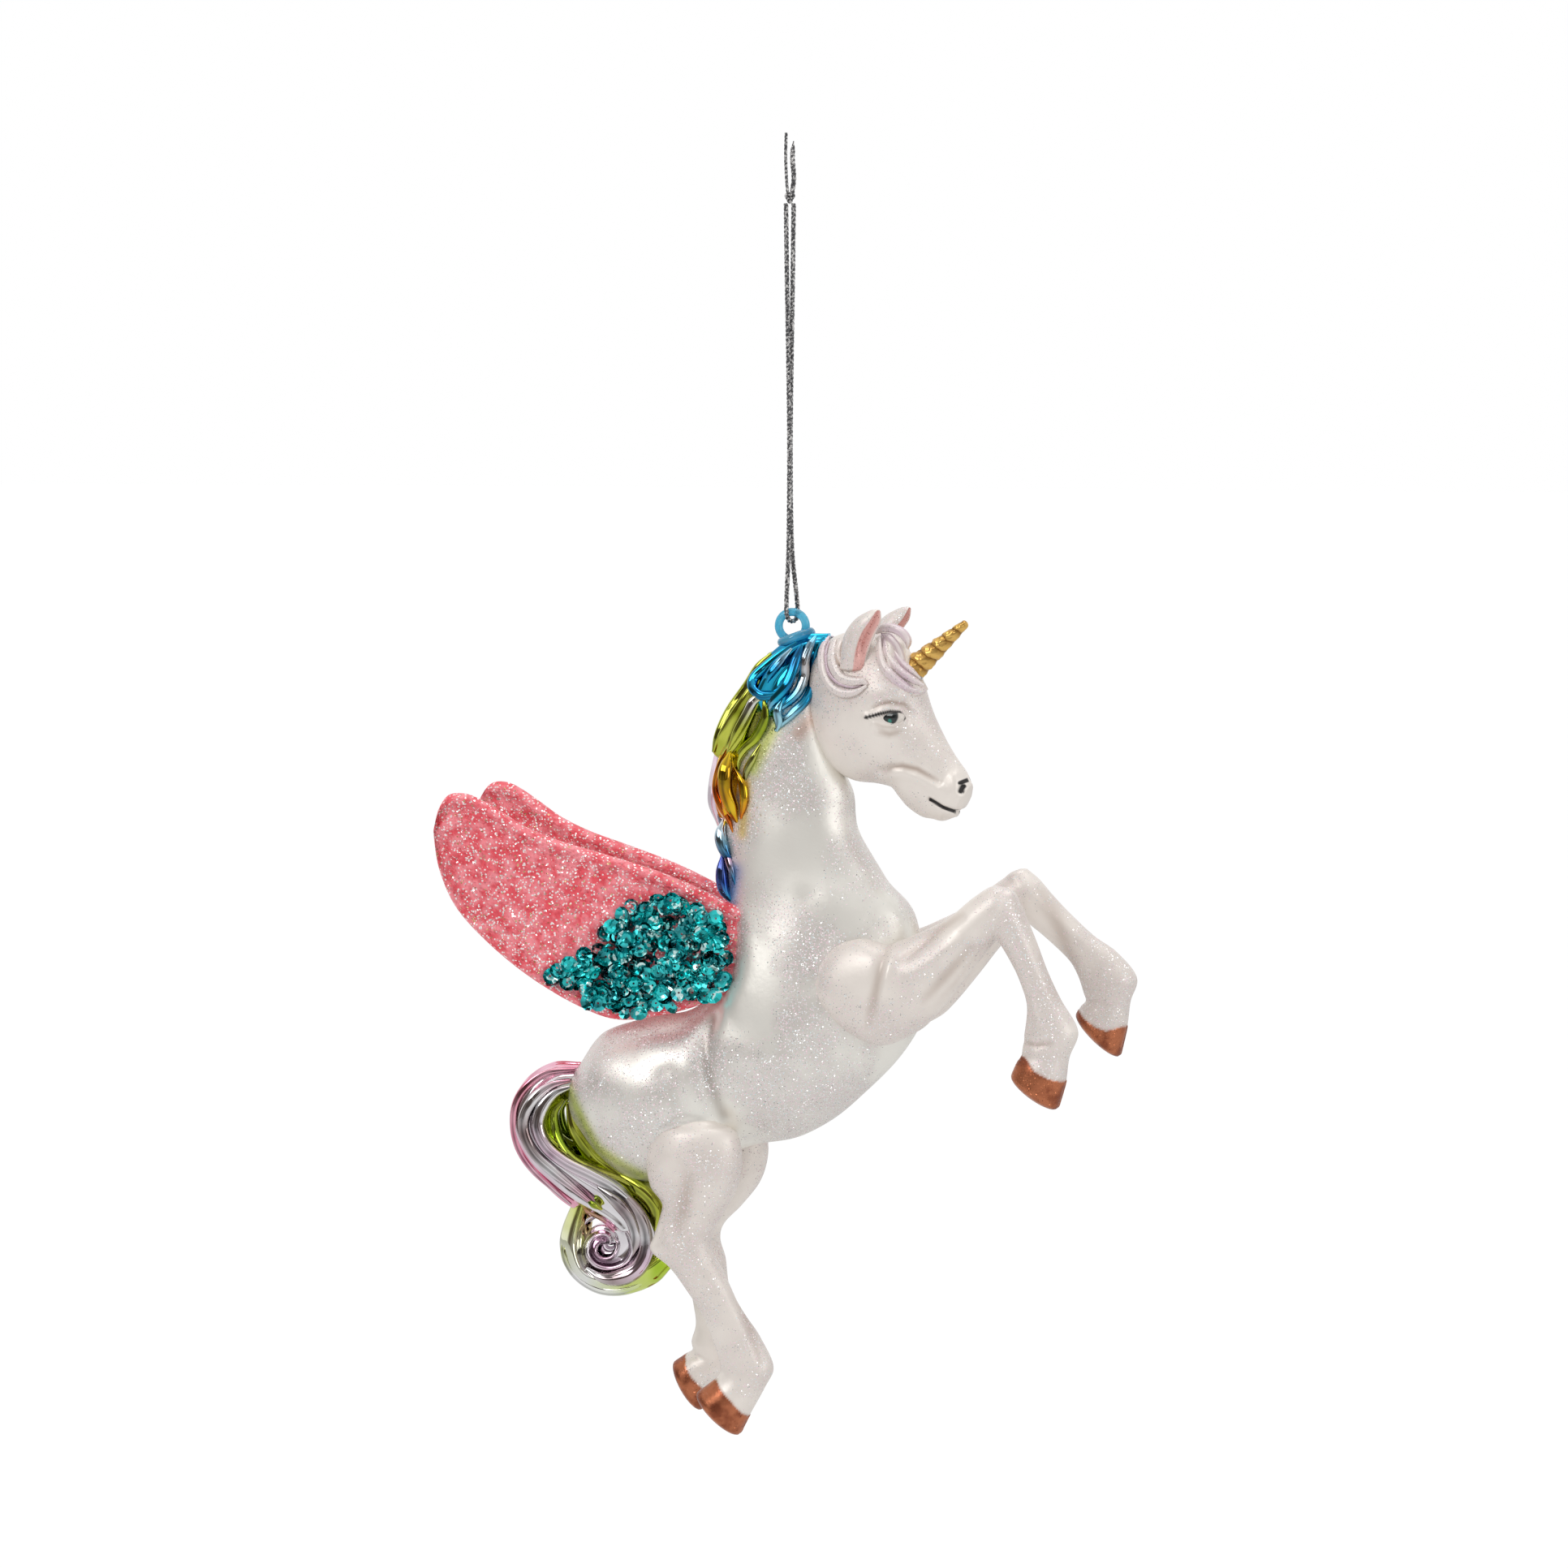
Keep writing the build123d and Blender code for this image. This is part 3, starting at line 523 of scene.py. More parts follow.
# %% Strand helpers
photo_pixel = 0.127  # millimetres of the ornament in one pixel of the photograph
hook_column, hook_row = 973, 255  # where the top of the cord's loop shows
frame_origin = np.zeros(3)
first_guess, least_off_middle = -4.0, -0.8  # y of a strand before its surface is found, and its nearest y
strand_rows, strand_sides = 64, 24


def seen_at(column, row, y, seat=frame_origin, turned=0.0):
    """Place that shows at a column and row, at a given y: the view's right and up are solved for x and z."""
    right = np.array([np.cos(azimuth), np.sin(azimuth), 0])
    up = np.array([-right[1] * np.sin(elevation), right[0] * np.sin(elevation), np.cos(elevation)])
    across = (np.asarray(column, float) - hook_column) * photo_pixel - seat @ right
    height = (hook_row - np.asarray(row, float)) * photo_pixel - seat @ up
    x = (across - y * np.sin(azimuth + turned)) / np.cos(azimuth + turned)
    depth = x * np.sin(azimuth + turned) - y * np.cos(azimuth + turned)
    return np.stack([x, y, (height + depth * np.sin(elevation)) / np.cos(elevation)], -1)


def carrier(*shells):
    """Search tree of the shells that strands are laid on."""
    points, quads, triangles = joined(shells)
    return BVHTree.FromPolygons(points.tolist(), quads.tolist() + triangles.tolist())


def laid_on(tree, stops, seat, turned):
    """Places of stops (column, row, lift) on the carrier's near side: its y, evened out, less the lift."""
    column, row, lift = np.array(stops, float).T
    y = np.full(len(stops), first_guess)
    for _ in range(3):
        places = seen_at(column, row, y, seat, turned)
        hits = [tree.ray_cast(Vector((x, -60, z)), Vector((0, 1, 0)))[0]
                or tree.find_nearest(Vector((x, y, z)))[0] for x, y, z in places]
        found = np.array([hit.y for hit in hits])
        ends = np.concatenate([found[:1], found, found[-1:]])
        y = np.minimum(ends[:-2] / 4 + ends[1:-1] / 2 + ends[2:] / 4, least_off_middle) - lift
    return seen_at(column, row, y, seat, turned)


def strand(places, half_across, half_out, grooves=4, depth=0.14, twist=2.0, rows=strand_rows,
           around=strand_sides):
    """Oval tube: line + (1 - depth x |cos(half the wave)| to the sixth) x (across cos(turn) + out sin(turn)).

    The wave is grooves x turn + twist x along. It also gives the grooves' mask, one number per point."""
    taper = np.interp(np.linspace(0, 1, len(places)), [0, 0.22, 0.75, 1], [0.3, 1, 1, 0.3])
    flat = smooth_rows(np.column_stack([places, taper]), rows)
    line, taper = flat[:, :3], flat[:, 3:, None]
    tangent = unit(np.gradient(line, axis=0))
    out = unit(np.array([0, -1.0, 0]) + tangent[:, 1:2] * tangent)
    across = np.cross(tangent, out)
    turn = turns(around)[None, :, None]
    wave = grooves * turn[..., 0] + twist * np.linspace(0, 1, rows)[:, None]
    valley = np.abs(np.cos(wave / 2)) ** 6
    section = across[:, None] * half_across * np.cos(turn) + out[:, None] * half_out * np.sin(turn)
    grid = line[:, None] + taper * (1 - depth * valley)[..., None] * section
    return closed_grid(rounded_ends(grid, 0.6)), with_ends(valley)


def shades_along(stops, rows, around):
    """Colour of each point of a grid, blended along it from stop to stop."""
    share, at_stops = np.linspace(0, 1, rows), np.linspace(0, 1, len(stops))
    shades = np.stack([np.interp(share, at_stops, channel) for channel in zip(*stops)], 1)
    return np.repeat(shades[:, None], around, 1)


def mirrored(shell):
    """The same shell on the other side of the middle plane."""
    return shell[0] * np.array([1, -1, 1]), *shell[1:]


def combed(name, tree, strands, material, attributes_of, seat=frame_origin, turned=0.0, both_sides=True,
           placed=None):
    """One piece from strands (stops, half width, tints) laid on a carrier, mirrored if it has two sides."""
    shells, valleys, shades = [], [], []
    for stops, half, tints in strands:
        shell, valley = strand(laid_on(tree, stops, seat, turned), half, 0.9 * half)
        for copy in (shell, mirrored(shell)) if both_sides else (shell,):
            shells.append(placed(copy) if placed else copy)
            valleys.append(valley)
            shades.append(with_ends(shades_along(tints, strand_rows, strand_sides)))
    attributes = attributes_of(np.concatenate(valleys), np.concatenate(shades))
    return new_piece(name, shells, material, attributes=attributes)


# %% [markdown]
# ## Places and sizes
#
# These are the CAD model's own named sizes, in millimetres. The ring's centre hangs under the top of the
# loop, the cap leans back, and the glass starts just under it.

# %% Places
ring_centre = np.array([0.4, 0, -65.7])
cap_axis = np.array([-np.sin(np.radians(20)), 0, np.cos(np.radians(20))])
cap_across = np.array([cap_axis[2], 0, -cap_axis[0]])
disc_centre = ring_centre - cap_axis * 1.9
body_origin = disc_centre - cap_axis * 1.6
body_length, body_width, mane_width, tail_length, tail_width = 57.0, 20.5, 10.4, 36.0, 10.0
head_length, head_width, leg_width = 26.0, 12.2, 9.0
sideways = np.array([0, 1, 0])


def on_body(along_x, along_z):
    """Place in the middle plane, given as shares of the body's length from where the glass starts."""
    return body_origin + np.array([along_x, 0, along_z]) * body_length


head_seat, dock = on_body(0.062, -0.168), on_body(-0.638, -1.202)
print("head seat", head_seat.round(2), "dock", dock.round(2))

# %% [markdown]
# ## The cord's line
#
# The cord is a twisted metallic yarn about three quarters of a millimetre thick. It leaves the knot, goes
# down, round the ring's bar and up again, 131 mm in all, and it is taut because the ornament hangs on it.
# Its line is one smooth NURBS curve through a short route. The yarn is three strands: each strand's middle
# is the line + radius x (cos, sin) of a steadily growing angle, in a frame that travels along the line.

# %% The cord's line
cord_route = [
    (-0.58, -0.15, 0), (-0.42, -0.22, -12.0), (-0.14, -0.38, -24.0), (0.06, -0.40, -38.0),
    (-0.08, -0.39, -54.0), (-0.30, -0.85, -60.4), (-0.34, -1.30, -65.0), (1.14, 1.30, -65.0),
    (0.85, 0.85, -60.4), (0.16, 0.39, -54.0), (-0.02, 0.40, -38.0), (0.18, 0.38, -24.0), (0.42, 0.22, -12.0),
    (0.58, 0.15, 0),
]
cord_diameter = 0.76
yarn_step = 0.12


def nurbs_line(route, per_run=28):
    """Points in millimetres along the quadratic NURBS curve whose control points are the route."""
    curve = bpy.data.curves.new("line", "CURVE")
    curve.dimensions = "3D"
    spline = curve.splines.new("NURBS")
    spline.points.add(len(route) - 1)
    spline.points.foreach_set("co", [value for x, y, z in route for value in (x * MM, y * MM, z * MM, 1)])
    spline.order_u = 3
    spline.use_endpoint_u = True
    spline.resolution_u = per_run
    holder = in_scene("line", curve)
    bpy.context.view_layer.update()
    mesh = bpy.data.meshes.new_from_object(holder)
    points = points_of(mesh)
    bpy.data.objects.remove(holder)
    bpy.data.meshes.remove(mesh)
    return points / MM


def tube(line, radius, sides, reference):
    """Round tube: line + radius x (cos(turn) x first across + sin(turn) x second across)."""
    tangent = unit(np.gradient(line, axis=0))
    reference = np.asarray(reference, float)
    across = unit(reference - (tangent @ reference)[:, None] * tangent)
    beside = np.cross(tangent, across)
    turn = turns(sides)[None, :, None]
    radius = np.broadcast_to(radius, len(line))[:, None, None]
    return line[:, None] + radius * (across[:, None] * np.cos(turn) + beside[:, None] * np.sin(turn))


def yarn(line, diameter, pitch, reference, thinned=np.ones_like):
    """Shells of three strands that wind round a line once every pitch; thinned(share) thins an end."""
    length = running_length(line)[-1]
    line = evenly_along(line, max(int(length / yarn_step), 8))
    thin = thinned(np.linspace(0, 1, len(line)))
    shells = []
    for third in range(3):
        angle = 2 * np.pi * (np.linspace(0, length, len(line)) / pitch + third / 3)
        middle = tube(line, 1.0, 4, reference)
        across, beside = middle[:, 0] - line, middle[:, 1] - line
        winding = 0.25 * diameter * thin[:, None]
        path = line + winding * (across * np.cos(angle)[:, None] + beside * np.sin(angle)[:, None])
        shells.append(closed_grid(tube(path, 0.25 * diameter * thin, 8, reference)))
    return shells


cord_line = nurbs_line(cord_route)
print("cord runs", round(running_length(cord_line)[-1], 1), "mm")

# %% [markdown]
# ## Metallic yarn
#
# Each strand is a flat metal foil wound round a dark core, so it glints in short dashes. Noise much finer
# than the yarn alternates bright foil and dark gaps and dents the foil a little.

# %% Yarn material
yarn_foil, tree, shader = new_material("metallic yarn", Roughness=0.34, Metallic=0.85)
dashes = noise(tree, 2600.0, 2.0)
glint = soft_step(tree, dashes, 0.46, 0.60)
give(tree, shader, Base_Color=mixed_colour(tree, glint, (0.10, 0.10, 0.105, 1), (0.62, 0.61, 0.60, 1)),
     Normal=rippled(tree, dashes, 0.00008, 0.5))

# %% [markdown]
# ## Cord, knot and cut ends
#
# The cord is one piece, and so are the knot above it and the two cut ends, where the yarn has come apart
# and thins out. The knot is a closed overhand knot of the same yarn. All three ride on the cord's body.

# %% Cord, knot and cut ends
def knot_line(count=240):
    """Overhand knot, scaled: across = sin t + 2 sin 2t, up = cos t - 2 cos 2t, in and out = sin 3t."""
    t = np.linspace(0, 2 * np.pi, count)
    across, up = np.sin(t) + 2 * np.sin(2 * t), np.cos(t) - 2 * np.cos(2 * t)
    return np.stack([0.19 * across, 0.275 * np.sin(3 * t), 1.0 + 0.25 * up], 1)


def frayed(share):
    """Thickness that shrinks to a quarter over the last fifth."""
    return 1 - 0.75 * ramp(share, 0.8, 1)


loop_across = (np.cos(np.radians(30)), -np.sin(np.radians(30)), 0)
cord = new_piece("cord", yarn(cord_line, cord_diameter, 2.1, loop_across), yarn_foil, "cord")
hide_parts("cord_loop")
knot = new_piece("knot", yarn(knot_line(), 0.62, 2.1, (0, 1, 0)), yarn_foil, "cord")
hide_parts("cord_knot")
rear_end = smooth_rows([(-0.35, 0, 1.6), (-0.52, -0.1, 4.0), (-0.66, 0, 7.4), (-0.60, 0.05, 11.0)], 40)
front_end = smooth_rows([(0.35, 0, 1.6), (0.62, 0.1, 4.0), (0.40, 0.1, 7.0), (0.58, 0, 9.7)], 40)
tails = new_piece(
    "cord_ends", yarn(rear_end, 0.52, 1.9, (0, 1, 0)) + yarn(front_end, 0.80, 2.1, (0, 1, 0), frayed),
    yarn_foil, "cord")
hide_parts("cord_tails")

# %% [markdown]
# ## Glitter
#
# Fine glitter is thousands of small flat flakes that lie every which way, so each one shines for a
# different lamp. A Voronoi pattern cuts space into cells, one per flake, and gives each a random colour.
# The group turns that into a mask of the cells that hold a flake, a random shade, and a normal that is
# tilted at random in each cell.

# %% Glitter group
glitter = bpy.data.node_groups.new("glitter flakes", "ShaderNodeTree")
for name in ("Scale", "Amount", "Tilt"):
    glitter.interface.new_socket(name, in_out="INPUT", socket_type="NodeSocketFloat")
flake_outputs = (("Flake", "NodeSocketFloat"), ("Shade", "NodeSocketFloat"), ("Normal", "NodeSocketVector"))
for name, kind in flake_outputs:
    glitter.interface.new_socket(name, in_out="OUTPUT", socket_type=kind)
given = add_node(glitter, "NodeGroupInput").outputs
place = add_node(glitter, "ShaderNodeTexCoord").outputs["Object"]
cells = add_node(glitter, "ShaderNodeTexVoronoi", {"Vector": place, "Scale": given["Scale"]}).outputs
chance = add_node(glitter, "ShaderNodeSeparateXYZ", {0: cells["Color"]}).outputs
holds_flake = arithmetic(glitter, "LESS_THAN", chance["X"], given["Amount"])
near_middle = arithmetic(glitter, "LESS_THAN", cells["Distance"], 0.42)
flake = arithmetic(glitter, "MULTIPLY", holds_flake, near_middle)


def vector_node(operation, inputs):
    """Output of a Vector Math node in the glitter group."""
    return add_node(glitter, "ShaderNodeVectorMath", inputs, operation=operation).outputs[0]


lean = vector_node("SUBTRACT", {0: cells["Color"], 1: (0.5, 0.6, 0.3)})
lean = vector_node("SCALE", {0: lean, "Scale": arithmetic(glitter, "MULTIPLY", flake, given["Tilt"])})
facing = add_node(glitter, "ShaderNodeNewGeometry").outputs["Normal"]
tilted = vector_node("NORMALIZE", {0: vector_node("ADD", {0: facing, 1: lean})})
add_node(glitter, "NodeGroupOutput", {"Flake": flake, "Shade": chance["Y"], "Normal": tilted})


def glitter_on(tree, scale, amount, tilt):
    """The glitter group in a material, with its own flake size, amount and tilt."""
    inputs = {"Scale": scale, "Amount": amount, "Tilt": tilt}
    return add_node(tree, "ShaderNodeGroup", inputs, node_tree=glitter).outputs


print("glitter group:", len(glitter.nodes), "nodes")

# %% [markdown]
# ## Pearl lacquer and pearl paint
#
# The trunk is mirror under a thin satin pearl lacquer: half metallic, with broad dim reflections, and fine
# glitter dusted over it in clouds. The castings wear a warmer pearl paint, less mirror-like. In creases both
# darken towards a shade colour: painted shade. Both take a stored tint, so that lilac, copper and ink can be
# painted on the same piece, and a stored gilt, where that paint is metallic and streaked by the brush.

# %% Pearl finishes
def pearl_finish(name, colour, metallic, roughness, flakes, fold_colour):
    """Satin pearl: tint over the pearl colour, painted crease shade, bright fine flakes, mottled roughness.
    """
    material, tree, shader = new_material(name, Roughness=roughness, Coat_Weight=0.08, Coat_Roughness=0.35)
    cloud = noise(tree, 95.0, 3.0)
    dusted = arithmetic(tree, "MULTIPLY", soft_step(tree, cloud, 0.36, 0.60), flakes)
    sparkle = glitter_on(tree, 4300.0, dusted, 1.3)
    mottled = tuple(0.93 * share for share in colour[:3]) + (1,)
    base = mixed_colour(tree, soft_step(tree, cloud, 0.3, 0.7), colour, mottled)
    # Painted shade: the colour darkens towards the shade colour where fold grows.
    base = mixed_colour(tree, stored(tree, "fold"), base, fold_colour)
    dust = mixed_colour(tree, 1.0, base, (0.84, 0.80, 0.81, 1), "MULTIPLY")
    base = mixed_colour(tree, arithmetic(tree, "MULTIPLY", dusted, 0.9), base, dust)
    blush = mixed_colour(tree, soft_step(tree, sparkle["Shade"], 0.25, 0.55), (0.94, 0.68, 0.76, 1),
                         (0.70, 0.92, 0.94, 1))
    bright = mixed_colour(tree, soft_step(tree, sparkle["Shade"], 0.50, 0.56), blush, white)
    base = mixed_colour(tree, arithmetic(tree, "MULTIPLY", sparkle["Flake"], 0.85), base, bright)
    painted, gilt = stored(tree, "tint", "Color"), stored(tree, "gilt")
    streak = arithmetic(tree, "MULTIPLY", soft_step(tree, noise(tree, 330.0, 4.0), 0.42, 0.62),
                        arithmetic(tree, "MULTIPLY", gilt, 0.8))
    brushed = mixed_colour(tree, 1.0, painted, (0.42, 0.28, 0.24, 1), "MULTIPLY")
    painted = mixed_colour(tree, streak, painted, brushed)
    glint = arithmetic(tree, "MULTIPLY", sparkle["Flake"], soft_step(tree, sparkle["Shade"], 0.50, 0.55))
    shine = arithmetic(tree, "MULTIPLY_ADD", sparkle["Flake"], -0.7 * metallic, metallic)
    shine = arithmetic(tree, "MULTIPLY_ADD", glint, 0.5, shine, clamp=True)
    rough = arithmetic(tree, "MULTIPLY_ADD", cloud, 0.10, roughness - 0.05)
    rough = arithmetic(tree, "MULTIPLY_ADD", glint, -0.15, rough)
    give(tree, shader, Base_Color=mixed_colour(tree, stored(tree, "cover"), base, painted),
         Metallic=arithmetic(tree, "MAXIMUM", shine, arithmetic(tree, "MULTIPLY", gilt, 0.75)),
         Roughness=arithmetic(tree, "MULTIPLY_ADD", gilt, -0.10, rough),
         Normal=rippled(tree, noise(tree, 1500.0, 2.0), 0.00005, 0.35, Normal=sparkle["Normal"]))
    return material


# The last colour of each finish is its painted shade in creases.
pearl_lacquer = pearl_finish("pearl lacquer", (0.89, 0.87, 0.81, 1), 0.66, 0.40, 0.80, (0.45, 0.41, 0.36, 1))
pearl_paint = pearl_finish("pearl paint", (0.87, 0.805, 0.745, 1), 0.22, 0.40, 0.55, (0.36, 0.25, 0.19, 1))
print("finishes:", [material.name for material in bpy.data.materials])

# %% [markdown]
# ## The trunk and neck
#
# One blown form from the rump to the poll. The glass-blower's mould gives it a haunch, a crease at the
# flank, a dimple between the muscles and a low rim under each wing. Those are soft bumps and grooves on a
# fine grid, and two crossed waves make the glass a little uneven.

# %% Form of the trunk
body_table = [
    ((-0.648, -1.240), (-0.647, -1.280), 0.04, 0), ((-0.641, -1.200), (-0.638, -1.318), 0.14, 0),
    ((-0.622, -1.164), (-0.617, -1.347), 0.24, 0), ((-0.547, -1.070), (-0.554, -1.423), 0.40, 0),
    ((-0.421, -1.030), (-0.444, -1.485), 0.48, 0), ((-0.308, -1.005), (-0.303, -1.450), 0.49, 0),
    ((-0.210, -0.927), (-0.137, -1.378), 0.47, 0), ((-0.189, -0.851), (0.034, -1.336), 0.50, 0),
    ((-0.191, -0.784), (0.228, -1.179), 0.50, 0), ((-0.198, -0.726), (0.349, -0.996), 0.45, 0),
    ((-0.205, -0.666), (0.326, -0.744), 0.38, 0), ((-0.210, -0.565), (0.239, -0.628), 0.32, 0),
    ((-0.207, -0.453), (0.166, -0.503), 0.29, 0), ((-0.187, -0.324), (0.148, -0.398), 0.26, 0),
    ((-0.144, -0.208), (0.116, -0.331), 0.24, 0), ((-0.098, -0.107), (0.080, -0.230), 0.22, 0),
    ((-0.062, -0.034), (0.052, -0.118), 0.19, 0), ((-0.026, -0.002), (0.034, -0.044), 0.11, 0),
]
flank_crease = [(-11.0, -127), (-11.7, -131.1), (-10.8, -136.2), (-9.0, -142)]
root_rim = [(-20.5, -146.5), (-19.0, -144.6), (-15.9, -143.2), (-12.6, -142.9), (-9.0, -143.6)]


def trunk_relief(points):
    """Haunch dome, flank crease, muscle dimple, shoulder swell and the rims round the wing roots."""
    relief = twin_bumps(points, (-20.5, 9, -136), (9, 6, 9), 0.7)
    relief += groove(points, flank_crease, 1.7, -0.85)
    relief += groove(points, [(-17.5, -135.5), (-14.5, -141.0)], 1.7, -0.45)
    relief += groove(points, root_rim, 0.7, 0.5, clear=3.0, faded=True)
    relief += groove(points, [(-9.5, -129), (-4.5, -132.5), (2.0, -133.5)], 2.6, 0.35)
    relief += groove(points, [(-6.5, -110.5), (-5.2, -116), (-5.8, -122), (-8.5, -126.5)], 1.8, 0.2,
                     clear=3.0)
    relief += groove(points, [(4.5, -108), (7.0, -113), (6.0, -121)], 2.4, -0.35, clear=3.0)
    x, y, z = points.T
    return relief + 0.13 * np.sin(0.42 * x + 0.9 + 0.3 * y) * np.sin(0.36 * z - 0.5 * np.abs(y))


trunk_grid = oval_skin(body_table, body_origin, body_length, body_width, 280, 200)
trunk_shell = pressed(closed_grid(trunk_grid), trunk_relief)
trunk_points = trunk_shell[0]
print("trunk from", trunk_points.min(0).round(1), "to", trunk_points.max(0).round(1))

# %% [markdown]
# ## Colour on the trunk
#
# The painter's spray drifts over the pearl beside the coloured locks: blue, green, gold and lilac along the
# mane, salmon just behind the head, yellow-green beside the tail. Each drift is a line in the side view with
# a colour, a reach and a strength, and where two meet their colours are blended by strength.

# %% Sprayed colours
hazes = [
    ((0.66, 0.38, 0.28), [(2.4, -82.2), (4.6, -79.6)], 1.2, 0.55),
    ((0.66, 0.74, 0.14), [(-1.5, -81.0), (-5.0, -88.0)], 1.2, 0.8),
    ((0.86, 0.62, 0.10), [(-6.0, -90.0), (-6.6, -98.0)], 0.9, 0.7),
    ((0.10, 0.30, 0.66), [(-8.0, -104.0), (-9.0, -109.5)], 1.5, 0.8),
    ((0.40, 0.72, 0.86), [(0.2, -80.0), (3.2, -76.0)], 1.0, 0.8),
    ((0.74, 0.60, 0.72), [(-11.6, -104.5), (-11.0, -110.0)], 1.6, 0.7),
    ((0.62, 0.72, 0.12), [(-34.5, -139.0), (-29.5, -148.0), (-23.0, -152.0)], 1.1, 0.75),
]
sprays = np.stack([strength * haze(trunk_points, stops, reach) for _, stops, reach, strength in hazes], 1)
trunk_tint = sprays @ np.array([colour for colour, *_ in hazes]) / (sprays.sum(1)[:, None] + 1e-6)
sprayed = np.clip(sprays.max(1), 0, 0.85)
# Painted shade darkens the flank crease through fold.
trunk = new_piece("trunk", [trunk_shell], pearl_lacquer, attributes={
    "fold": 0.7 * haze(trunk_points, flank_crease, 0.9), "tint": trunk_tint, "cover": sprayed,
    "gilt": 0.5 * sprayed})
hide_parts("glass_body")

# %% [markdown]
# ## Chrome lacquers
#
# Mane and tail are bare mirror under clear coloured lacquers, so their material is a full metal with a
# tinted colour and a sharp reflection. The tint is stored on the points and runs from lock to lock.

# %% Chrome material
chrome, tree, shader = new_material("clear lacquer on mirror", Metallic=1.0, Roughness=0.07, Coat_Weight=0.4,
                                    Coat_Roughness=0.03)
tint, streak = stored(tree, "tint", "Color"), noise(tree, 160.0, 2.0)
deeper = mixed_colour(tree, 1.0, tint, tint, "MULTIPLY")
give(tree, shader, Base_Color=mixed_colour(tree, soft_step(tree, streak, 0.4, 0.7), tint, deeper),
     Roughness=arithmetic(tree, "MULTIPLY_ADD", streak, 0.08, 0.03),
     Normal=rippled(tree, streak, 0.0006, 0.3))

# %% [markdown]
# ## Locks of the mane
#
# A lock is an oval form with flutes that run along it and wind a little, as combed hair does. The distance
# from its middle is multiplied by 1 + depth x (1 - 2 x |sin(half the wave)| to the 1.4), which makes sharp
# ridges between round hollows. Five such locks are joined to the neck, each with its own lacquers.

# %% Locks
blue, pale_blue, violet = (0.01, 0.42, 0.66), (0.55, 0.80, 0.88), (0.25, 0.30, 0.66)
green, gold_lacquer, silver = (0.56, 0.60, 0.08), (0.85, 0.58, 0.02), (0.85, 0.84, 0.85)
lilac_lacquer, rose = (0.82, 0.66, 0.76), (0.90, 0.55, 0.66)


def fluted(flutes, depth, twist):
    """Swell of a lock, whose wave is flutes x turn + twist x along."""
    def swell(along, turn):
        """1 + depth x (1 - 2 x |sin(half the wave)| to the 1.4)."""
        return 1 + depth * (1 - 2 * np.abs(np.sin((flutes * turn + twist * along) / 2)) ** 1.4)
    return swell


def lock(name, table, seat, length, width, stops, flutes, depth, twist, rows=150, around=120, banded=None):
    """One fluted lock with its own tints; its shell comes back, to carry the strands that lie on it."""
    grid = oval_skin(table, seat, length, width, rows, around, swell=fluted(flutes, depth, twist))
    shell, shades = closed_grid(grid), shades_along(stops, rows, around)
    if banded is not None:
        shades = banded(shades, turns(around))
    new_piece(name, [shell], chrome, attributes={"tint": with_ends(shades)})
    return shell


mane_locks = {
    "poll_lock": ([
        ((0.072, -0.012), (0.080, 0.038), 0.19, 0), ((0.040, -0.045), (-0.008, 0.030), 0.36, 0),
        ((0.020, -0.095), (-0.095, -0.040), 0.46, 0), ((0.020, -0.140), (-0.137, -0.114), 0.50, 0),
        ((0.000, -0.181), (-0.114, -0.168), 0.47, 0), ((-0.044, -0.213), (-0.081, -0.195), 0.29, -0.10),
    ], [blue, blue, blue, blue, pale_blue], 7, 0.10, 3.0),
    "crest_lock": ([
        ((-0.061, -0.015), (-0.093, -0.021), 0.15, 0.10), ((-0.062, -0.107), (-0.134, -0.092), 0.37, 0),
        ((-0.080, -0.197), (-0.189, -0.168), 0.44, 0), ((-0.114, -0.275), (-0.226, -0.235), 0.42, 0),
        ((-0.166, -0.331), (-0.239, -0.286), 0.29, 0),
    ], [green, green, green], 6, 0.11, 2.5),
    "amber_lock": ([
        ((-0.157, -0.263), (-0.200, -0.256), 0.19, -0.06), ((-0.148, -0.330), (-0.223, -0.319), 0.35, -0.06),
        ((-0.144, -0.404), (-0.235, -0.395), 0.38, -0.06), ((-0.157, -0.459), (-0.221, -0.453), 0.31, -0.06),
        ((-0.178, -0.502), (-0.196, -0.500), 0.12, -0.06),
    ], [gold_lacquer, gold_lacquer, (0.92, 0.62, 0.02)], 5, 0.13, 3.5),
    "lilac_lock": ([
        ((-0.213, -0.304), (-0.247, -0.300), 0.13, 0.21), ((-0.206, -0.371), (-0.261, -0.367), 0.23, 0.21),
        ((-0.202, -0.438), (-0.266, -0.434), 0.23, 0.21), ((-0.202, -0.490), (-0.247, -0.485), 0.18, 0.21),
        ((-0.211, -0.523), (-0.231, -0.519), 0.09, 0.21),
    ], [lilac_lacquer, lilac_lacquer, silver], 4, 0.10, 2.0),
    "withers_lock": ([
        ((-0.189, -0.480), (-0.214, -0.478), 0.12, 0), ((-0.180, -0.534), (-0.230, -0.529), 0.23, 0),
        ((-0.180, -0.592), (-0.221, -0.590), 0.23, 0), ((-0.175, -0.650), (-0.221, -0.645), 0.21, 0),
        ((-0.175, -0.686), (-0.210, -0.686), 0.15, 0), ((-0.180, -0.721), (-0.196, -0.721), 0.08, 0),
    ], [silver, blue, violet, blue], 4, 0.12, 2.5),
}
mane_shells = [lock(name, table, body_origin, body_length, mane_width, *style)
               for name, (table, *style) in mane_locks.items()]
